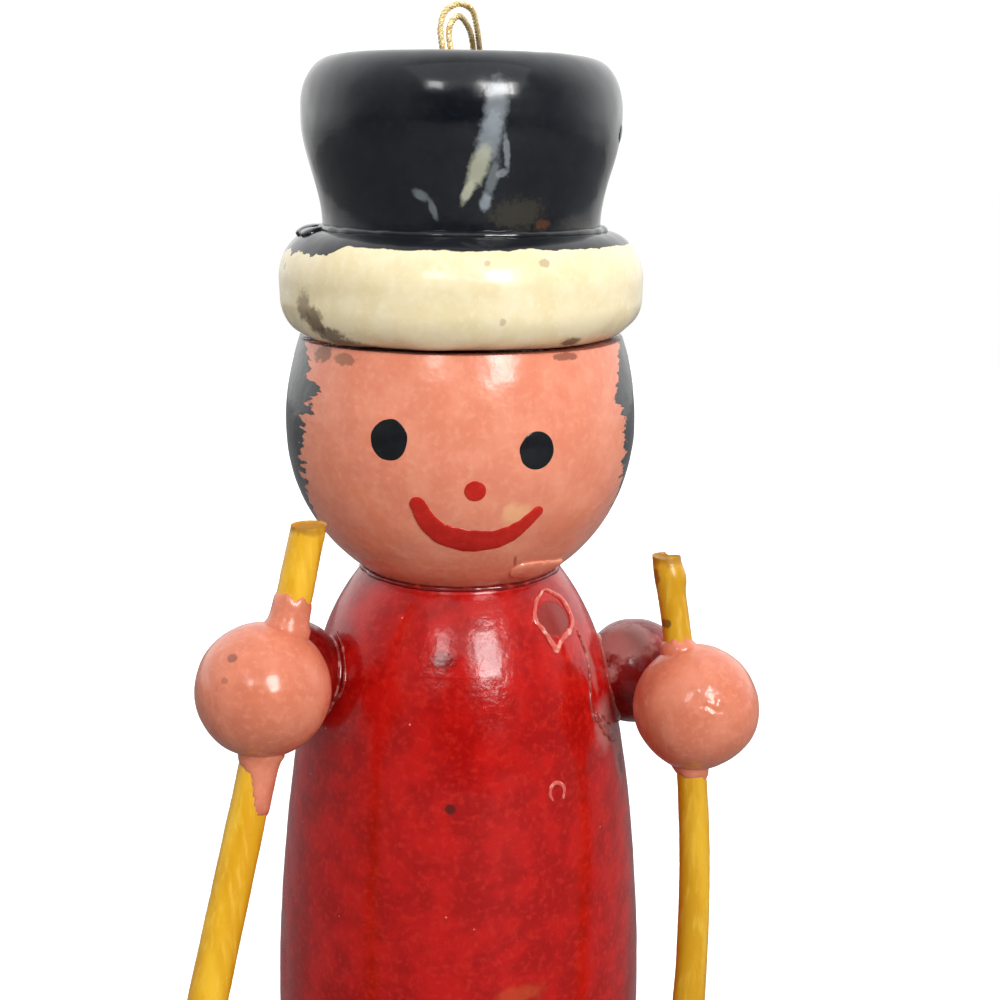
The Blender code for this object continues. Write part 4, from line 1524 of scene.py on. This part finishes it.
@dataclass
class Torso:
    """Red skirted body turned in one piece, with its chip, bubble and glue.

    Attributes:
        foot_r: Radius of the foot in metres.
        hem_r: Widest radius.
        hem_h: Height of the hem's rounding.
        taper: How much the skirt narrows up to the collar.
        taper_power: How late it narrows.
        shoulder_power: How sharply the shoulders round over.
        collar_r: Radius of the collar.
        neck_z: Height of the collar.
        edge: Small bevel of the collar.
        lumps: (size, depth) of its unevenness.
    """

    foot_r: float = 0.0187
    hem_r: float = 0.0199
    hem_h: float = 0.0024
    taper: float = 0.00605
    taper_power: float = 1.85
    shoulder_power: float = 8.0
    collar_r: float = 0.0104
    neck_z: float = 0.0517
    edge: float = 0.0003
    lumps: Layers = ((0.0080, 0.00010), (0.0020, 0.00003))

    def side(self, height: float) -> float:
        """Radius at a height between the hem and the collar."""
        share = max(0.0, height - self.hem_h) / (self.neck_z - self.edge - self.hem_h)
        step = self.hem_r - self.collar_r - self.taper
        return self.hem_r - self.taper * share**self.taper_power - step * share**self.shoulder_power

    @cached_property
    def form(self) -> Turned:
        """Turned form of the body."""
        lid = [(self.collar_r * i / 6, self.neck_z) for i in range(6)]
        top = self.neck_z - self.edge
        collar = arc((self.collar_r - self.edge, top), (self.edge, self.edge), 90, 0, 5)[:-1]
        heights = [top - (top - self.hem_h) * (i / 150) ** 1.4 for i in range(151)]
        hem = arc((self.foot_r, self.hem_h), (self.hem_r - self.foot_r, self.hem_h), 0, -90, 14)[1:]
        sole = [(self.foot_r * i / 10, 0.0) for i in range(9, -1, -1)]
        return Turned((*lid, *collar, *((self.side(z), z) for z in heights), *hem, *sole))

    def paint(self) -> Enamel:
        """Red enamel with its stains, smears and worn hem, an orange patch low on the front and painted shade
        beside the left shoulder.
        """
        veil = {"colour": screen(198, 146, 140), "soft": 1.0, "ragged": 0.9, "roughness": 0.26}
        return Enamel(
            "red_gloss",
            paint=screen(190, 18, 13),
            deep=screen(164, 10, 7),
            thin=screen(206, 40, 28),
            gloss=0.17,
            peel=0.0006,
            peel_depth=0.6,
            rings=0.28,
            speck=screen(236, 156, 138),
            specks=0.11,
            bare=0.0,
            marks=(
                Mark((-1.1, -13.8, 45.7), (1.15, 1.2, 0.8), screen(84, 16, 12), 0.6, soft=0.9, ragged=1.4,
                    grain=0.35),
                Mark((-0.43, -17.5, 31.9), (0.5, 0.6, 0.5), screen(70, 22, 16), 0.85, soft=0.6, ragged=0.7),
                # An orange patch low on the front, rougher than the paint.
                Mark((6.6, -18.3, 12.7), (2.4, 1.5, 0.9), screen(200, 88, 46), 0.4, turn=(0, 0, 20), soft=0.9,
                    ragged=1.4, grain=1.2, roughness=0.4),
                Mark((15.0, -6.6, 36.6), (1.9, 1.4, 2.6), strength=0.5, turn=(0, 40, 66), grain=1.3,
                    proud=0.8, **veil),
                Mark((16.6, -4.9, 32.6), (1.2, 1.2, 3.2), strength=0.3, turn=(0, 0, 74), grain=1.3, proud=0.5,
                    **veil),
                Mark((13.4, -6.4, 42.6), (0.7, 1.2, 3.4), strength=0.36, turn=(0, 0, 65), grain=1.0,
                    proud=0.6, **veil),
                Mark((9.63, -7.99, 48.2), (2.35, 1.4, 2.1), screen(140, 44, 38), 0.9, turn=(0, 0, 50),
                    soft=0.25, ragged=0.3, roughness=0.36, proud=-1.4),
                # Painted shade: a soft dark red patch on the body beside the left shoulder and hand.
                Mark((-11.9, -9.2, 41.0), (1.6, 1.2, 3.0), screen(112, 8, 6), 0.55, turn=(0, 0, -52),
                    soft=1.0, ragged=0.6),
                Mark((17.0, -4.4, 31.2), (0.7, 0.8, 1.1), screen(104, 10, 8), 0.85, ragged=1.3, proud=-1.0),
                Mark((0.0, 0.0, 0.5), (20.6, 20.6, 0.6), screen(206, 150, 104), 0.7, soft=0.8, ragged=0.8,
                    roughness=0.5),
            ),
        )

    def build(self) -> None:
        """Make the body and what stands proud of its paint."""
        surface, finish = self.form, self.paint().material()
        form = surface.mesh(256)
        roughen(form, self.lumps, 21.0)
        for vertex in form.verts:
            if vertex.co.z < 0.00001:
                vertex.co.z = 0.0
        piece("red_body", form, finish, ["body"])

        crest = Glue("pale_paint_crest", screen(214, 92, 80), screen(244, 176, 160)).material()
        raised = bmesh.new()
        rim = [(41.4, 47.5), (38.7, 48.6), (42.2, 49.9), (51.7, 50.8), (60.4, 49.9), (63.3, 48.8),
            (62.9, 47.5), (58.2, 46.8), (51.2, 46.3), (45.0, 45.6)]
        widths = [0.20, 0.24, 0.20, 0.18, 0.24, 0.28, 0.30, 0.26, 0.30, 0.34]
        dab(raised, surface, rim, widths, 0.00022, 0.55, 4.0, rings=160, segments=12)
        corner = [(45.0, 45.6), (43.1, 46.5), (41.4, 47.5)]
        dab(raised, surface, corner, [0.34, 0.26, 0.22], 0.0002, 0.5, 9.0, rings=60, segments=12)
        bubble = [(33.0, 31.7), (32.2, 32.4), (33.6, 33.2), (36.2, 33.2), (38.0, 32.5), (37.2, 31.6)]
        widths = [0.12, 0.17, 0.20, 0.20, 0.17, 0.12]
        dab(raised, surface, bubble, widths, 0.00016, 0.4, 2.0, rings=80, segments=12)
        piece("chip_rim_and_bubble", raised, crest)

        seam_glue = Glue("dark_seam_glue", screen(120, 12, 10), screen(178, 52, 44)).material()
        neck = bmesh.new()
        collar = level_seam(self.collar_r - self.edge, self.neck_z + self.edge / 2)
        ring_of(neck, collar, 0.00042, 0.00030, 5.0, 0.5)
        piece("neck_glue", neck, seam_glue)


# Arms


@dataclass
class Arm:
    """One arm: sleeve ball, hand ball and pole, with their glue and paint.

    Attributes:
        side: Which arm.
        below_neck: Depth of the sleeve ball's middle below the neck.
        sink: How deep the sleeve ball sits in the body.
        wrist_azimuth: Heading of the wrist in degrees, before the figure's turn.
        wrist_rise: Rise of the wrist in degrees.
        r_top: Pole radius at its top.
        r_foot: Pole radius at its foot.
        above: Length of pole above the hand's middle.
        lean: Lean of the pole in degrees.
        splay: Its splay in degrees.
        bow: Its bow in metres.
        cuff_above: Length of hand paint up the pole from the hand's middle.
        cuff_below: The same downwards.
        drip: Length of the drip below that.
        figure_turn: Turn of the shoulders' axis in degrees.
        arm_azimuth: Heading of the sleeve ball from the front, in degrees.
        arm_r: Radius of the sleeve ball.
        hand_r: Radius of the hand ball.
        gap: Glue gap between them.
        inset: How far the pole runs inside the hand's middle.
        ground: Height of the pole's foot.
        arm_lumps: (size, depth) of the sleeve ball's unevenness.
        hand_lumps: The same for the hand ball.
        blister_way: Azimuth and rise of the right hand's blisters in degrees.
        blister_reach: Radius of their patch.
        blister_size: Distance between them.
        blister_h: Their height.
        cove: Height of the paint that fills the corner between hand and pole.
        coat: Thickness of the paint on the pole.
        torso: Body that the arm is pegged to.
    """

    side: Side
    below_neck: float
    sink: float
    wrist_azimuth: float
    wrist_rise: float
    r_top: float
    r_foot: float
    above: float
    lean: float
    splay: float
    bow: float
    cuff_above: float
    cuff_below: float
    drip: float
    figure_turn: float = 15.0
    arm_azimuth: float = 80.5
    arm_r: float = 0.0056
    hand_r: float = 0.0063
    gap: float = 0.0003
    inset: float = 0.0010
    ground: float = 0.0006
    arm_lumps: Layers = ((0.0045, 0.00013), (0.0014, 0.00004))
    hand_lumps: Layers = ((0.0050, 0.00014), (0.0016, 0.00004))
    blister_way: Pin = (2.0, 26.0)
    blister_reach: float = 0.0034
    blister_size: float = 0.00105
    blister_h: float = 0.00016
    cove: float = 0.00035
    coat: float = 0.00015
    torso: Torso = field(default_factory=Torso)

    def heading(self, azimuth: float, rise: float) -> Vector:
        """Unit vector of a heading in degrees."""
        a, e = math.radians(azimuth), math.radians(rise)
        return Vector((math.cos(e) * math.sin(a), -math.cos(e) * math.cos(a), math.sin(e)))

    @property
    def shoulder_way(self) -> Vector:
        """Direction from the axis to the sleeve ball."""
        return self.heading(self.side.value * self.arm_azimuth + self.figure_turn, 0.0)

    @property
    def arm_centre(self) -> Vector:
        """Middle of the sleeve ball."""
        height = self.torso.neck_z - self.below_neck
        reach = self.torso.side(height) + self.arm_r - self.sink
        return self.shoulder_way * reach + Vector((0.0, 0.0, height))

    @property
    def hand_centre(self) -> Vector:
        """Middle of the hand ball."""
        wrist = self.heading(self.side.value * self.wrist_azimuth + self.figure_turn, self.wrist_rise)
        return self.arm_centre + wrist * (self.arm_r + self.hand_r + self.gap)

    def pole_line(self, count: int) -> tuple[list[Vector], float]:
        """Centreline of the pole.

        Args:
            count: Number of spans.

        Returns:
            Its points from the top down, and the share of its length at which the hand grips it.
        """
        sign = self.side.value
        down = Vector((sign * math.tan(math.radians(self.splay)), -math.tan(math.radians(self.lean)), -1.0))
        grip = self.hand_centre + Vector((-sign * self.inset, 0.0, 0.0))
        top = grip - down.normalized() * self.above
        foot = grip + down * (grip.z - self.ground)
        share = (top.z - grip.z) / (top.z - foot.z)
        offset = math.sin(math.pi * share)
        points = []
        for i in range(count + 1):
            t = i / count
            bow = sign * self.bow * (math.sin(math.pi * t) - offset)
            points.append(top.lerp(foot, t) + Vector((bow, 0.0, 0.0)))
        return points, share

    def pole_radius(self, share: float) -> float:
        """Pole radius at a share of its length."""
        return self.r_top + (self.r_foot - self.r_top) * share

    def pole_paint(self) -> Enamel:
        """Yellow enamel with streaks and dirty ends."""
        top = tuple(x / MM for x in self.pole_line(2)[0][0])
        rust = screen(150, 92, 22)
        marks = [Mark(top, (2.2, 2.2, 0.55), rust, 0.6, soft=0.8, ragged=1.4, roughness=0.45)]
        if self.side is Side.RIGHT:
            marks += [
                Mark((top[0] - 1.0, top[1] - 0.6, top[2] - 1.9), (0.9, 1.1, 0.9), rust, 0.75, ragged=1.5,
                    roughness=0.45),
                Mark((top[0] + 0.1, top[1] - 2.0, top[2] - 6.2), (0.5, 0.9, 0.5), screen(104, 66, 18), 0.8,
                    ragged=1.2),
                Mark((top[0] - 1.4, top[1] - 1.4, top[2] - 7.5), (0.8, 1.2, 1.5), rust, 0.6, ragged=1.6),
            ]
        dim = 1.0 if self.side is Side.LEFT else 0.93
        yellows = ((240, 186, 44), (222, 162, 22), (250, 204, 74))
        tones = [screen(*(round(x * dim) for x in yellow)) for yellow in yellows]
        return Enamel(
            f"yellow_gloss_{self.side.word}",
            *tones,
            gloss=0.26,
            mottle=0.0024,
            streak=0.06,
            peel=0.0006,
            peel_depth=0.35,
            rings=0.0,
            speck=screen(170, 112, 24),
            specks=0.04,
            marks=tuple(marks),
        )

    def pole(self) -> None:
        """Pole with whittled facets and a cut top."""
        line, _ = self.pole_line(150)

        def radius(share: float, angle: float) -> float:
            """Whittled radius."""
            base = self.pole_radius(share)
            ring = Vector((math.cos(angle), math.sin(angle), share * 14))
            facets = 0.035 * noise.noise(ring * 1.1)
            cuts = 0.018 * noise.noise(ring * 4.0 + Vector((0, 0, share * 60)))
            size = base * (1 + facets + cuts)
            if self.side is Side.RIGHT:
                size += 0.00022 * math.exp(-(((share - 0.035) / 0.022) ** 2)) * (1 + 0.6 * math.cos(angle))
            return size

        form = rod_along(line, radius, 32)
        way = (line[1] - line[0]).normalized()
        for vertex in form.verts:
            if (vertex.co - line[0]).dot(way) < 0.00001:
                vertex.co += way * ((line[0].z - vertex.co.z) / way.z)
        ends = [e for e in form.edges if any(len(f.verts) > 4 for f in e.link_faces)]
        bmesh.ops.bevel(form, geom=ends, offset=0.00018, segments=3, profile=0.5, affect="EDGES", material=-1)
        for vertex in form.verts:
            vertex.co.z = max(vertex.co.z, 0.0)
        name = self.side.word + "_pole"
        piece("yellow_" + name, form, self.pole_paint().material(), [name], sharp=40.0)

    def hand_paint(self) -> Enamel:
        """Pink enamel of the hand."""
        marks: tuple[Mark, ...] = ()
        if self.side is Side.LEFT:
            marks = (
                Mark((-19.7, -23.7, 49.3), (0.5, 0.5, 0.42), screen(132, 84, 70), 0.75, ragged=0.9),
                Mark((-20.3, -24.9, 47.6), (0.36, 0.4, 0.3), screen(160, 96, 78), 0.6, ragged=0.9),
            )
        return Enamel(
            f"hand_pink_gloss_{self.side.word}",
            paint=screen(222, 134, 105),
            deep=screen(212, 121, 92),
            thin=screen(231, 147, 119),
            gloss=0.2,
            peel=0.0010,
            peel_depth=0.35 if self.side is Side.LEFT else 0.6,
            rings=0.0,
            speck=screen(206, 120, 96),
            specks=0.02,
            marks=marks,
        )

    def hand(self) -> None:
        """Hand ball, with the hand paint that runs along the pole."""
        finish = self.hand_paint().material()
        centre = self.hand_centre
        surface = Turned(ball_outline(self.hand_r), tuple(centre))
        form = surface.mesh(128)
        roughen(form, self.hand_lumps, 31.0 + self.side.value)
        if self.side is Side.RIGHT:
            bumpy = centre + self.heading(*self.blister_way) * self.hand_r
            form.normal_update()
            for vertex in form.verts:
                near = smooth(1.25 - (vertex.co - bumpy).length / self.blister_reach)
                if near > 0:
                    cell = noise.voronoi(vertex.co / self.blister_size)[0][0]
                    vertex.co += vertex.normal * (self.blister_h * near * (1 - smooth(cell / 0.5)))
        name = self.side.word + "_hand"
        piece("pink_" + name, form, finish, [name])

        line, grip = self.pole_line(150)
        length, count = (line[-1] - line[0]).length, len(line) - 1
        first = grip - (self.cuff_above + 0.002) / length
        last = grip + (self.cuff_below + 0.006) / length
        run = line[max(0, int(first * count)) : min(count, int(last * count) + 1) + 1]
        start, spread = (run[0] - line[0]).length - grip * length, (run[-1] - run[0]).length

        def radius(share: float, angle: float) -> float:
            """Paint on the pole: a small cove by the hand, then a thin coat with a ragged end."""
            reach = start + share * spread
            base = self.pole_radius(grip + reach / length)
            cove = self.cove * math.exp(-max(0.0, abs(reach) - self.hand_r * 0.95) / 0.0005)
            ring = Vector((math.cos(angle), math.sin(angle), 5.0 if reach > 0 else 0.0))
            end = (self.cuff_below if reach > 0 else self.cuff_above) + 0.0006 * noise.noise(ring * 1.7)
            if reach > 0:
                end += self.drip * smooth((math.cos(angle + 0.4) - 0.1) / 0.75)
            coat = self.coat * smooth((end - abs(reach)) / 0.0005)
            coat -= 0.0004 * smooth((abs(reach) - end) / 0.0003)
            return max(0.0004, base + cove + coat)

        piece(self.side.word + "_hand_paint_on_pole", rod_along(run, radius, 40), finish)

    def seam(self, angle: float) -> tuple[Vector, Vector, Vector]:
        """Place and directions where the sleeve ball meets the body.

        Args:
            angle: Angle round the shoulder.

        Returns:
            The place, the outward direction of the ball and that of the body.
        """
        way = self.shoulder_way
        turned = UP * math.cos(angle) + way.cross(UP) * math.sin(angle)
        low, high = 0.0, math.pi / 2
        centre, surface = self.arm_centre, self.torso.form
        for _ in range(24):
            mid = (low + high) / 2
            spot = centre + (-way * math.cos(mid) + turned * math.sin(mid)) * self.arm_r
            inside = math.hypot(spot.x, spot.y) < surface.radius(spot.z)[0]
            low, high = (mid, high) if inside else (low, mid)
        ball_out = (spot - centre).normalized()
        body_out = Vector((spot.x, spot.y, 0.0)).normalized()
        between = ball_out + body_out
        return spot, between.normalized(), ball_out.cross(body_out).cross(between).normalized()

    def sleeve(self) -> None:
        """Sleeve ball, with painted sheen on the right one, and the glue round its seam."""
        marks: tuple[Mark, ...] = ()
        if self.side is Side.RIGHT:
            # Painted sheen: a pale patch on the top and front of the right sleeve ball stands in for a
            # reflection.
            film_and_sheen = {"colour": screen(196, 142, 136), "strength": 0.6, "soft": 0.5, "grain": 0.9,
                "roughness": 0.34}
            marks = (
                Mark((17.3, -1.3, 43.8), (3.4, 3.2, 1.9), ragged=1.1, **film_and_sheen),
                Mark((15.4, -3.6, 41.2), (1.3, 1.4, 1.6), ragged=1.4, **film_and_sheen),
            )
        red = Enamel(
            f"sleeve_red_gloss_{self.side.word}",
            paint=screen(142, 16, 13),
            deep=screen(112, 9, 8),
            thin=screen(160, 34, 28),
            gloss=0.2,
            peel=0.0006,
            peel_depth=0.7,
            rings=0.0,
            speck=screen(220, 150, 140),
            specks=0.05,
            marks=marks,
        )
        surface = Turned(ball_outline(self.arm_r, 72), tuple(self.arm_centre))
        form = surface.mesh(112)
        roughen(form, self.arm_lumps, 41.0 + self.side.value)
        name = self.side.word + "_arm"
        piece("red_" + name, form, red.material(), [name])
        glue = bmesh.new()
        ring_of(glue, self.seam, 0.00030, 0.00045, 6.0 + self.side.value, 0.7)
        body = self.torso.form
        if self.side is Side.LEFT:
            outer = [(-64.0, 45.9), (-55.0, 45.0), (-48.7, 43.0), (-47.7, 41.2), (-51.1, 39.9), (-55.1, 38.5)]
            inner = [(-58.0, 44.2), (-53.6, 42.5), (-52.0, 40.7)]
            dab(glue, body, outer, [0.14, 0.18, 0.2, 0.2, 0.18, 0.12], 0.0002, 0.5, 3.0, rings=110,
                segments=12)
            dab(glue, body, inner, [0.1, 0.14, 0.1], 0.00015, 0.5, 5.0, rings=60, segments=12)
            tint = screen(134, 20, 18)
        else:
            crest = [(64.0, 46.2), (62.7, 42.8), (58.0, 39.9), (57.5, 37.7)]
            web = [(60.0, 38.0), (65.5, 36.2), (72.0, 34.4)]
            dab(glue, body, crest, [0.16, 0.2, 0.2, 0.14], 0.00018, 0.5, 8.0, rings=110, segments=12)
            dab(glue, body, web, [0.4, 0.75, 0.4], 0.00022, 0.6, 4.0, rings=60)
            tint = screen(152, 60, 54)
        tone = Glue(f"shoulder_glue_{self.side.word}", tint, screen(206, 126, 116))
        piece(self.side.word + "_shoulder_glue", glue, tone.material())

    def build(self) -> None:
        """Make the arm."""
        self.sleeve()
        self.hand()
        self.pole()


def hidden_woodwork() -> None:
    """Dress the dowel and pegs that stay as the frame has them."""
    upright = RawWood().material()
    across = RawWood("raw_birch_peg", (0.3, 0.3, 1.0)).material()
    dress("centre_dowel", upright)
    for side in Side:
        for joint in ("shoulder", "wrist"):
            dress(f"{side.word}_{joint}_peg", across)


def main() -> None:
    """Build the studio and every sub-assembly."""
    logging.basicConfig(level=logging.INFO, format="%(name)s %(message)s")
    studio = Studio()
    studio.camera()
    HangingLoop().build()
    Hat().build()
    Head().build()
    Torso().build()
    left = Arm(
        Side.LEFT,
        below_neck=0.0096,
        sink=0.00185,
        wrist_azimuth=17.5,
        wrist_rise=13.0,
        r_top=0.00165,
        r_foot=0.00195,
        above=0.0155,
        lean=14.0,
        splay=11.8,
        bow=0.0,
        cuff_above=0.0089,
        cuff_below=0.0074,
        drip=0.0040,
    )
    right = Arm(
        Side.RIGHT,
        below_neck=0.0124,
        sink=0.0026,
        wrist_azimuth=10.0,
        wrist_rise=1.0,
        r_top=0.00140,
        r_foot=0.00165,
        above=0.0150,
        lean=12.0,
        splay=2.2,
        bow=0.0021,
        cuff_above=0.0066,
        cuff_below=0.0069,
        drip=0.0004,
    )
    for arm in (left, right):
        arm.build()
    hidden_woodwork()
    studio.build()


if __name__ == "__main__":
    main()
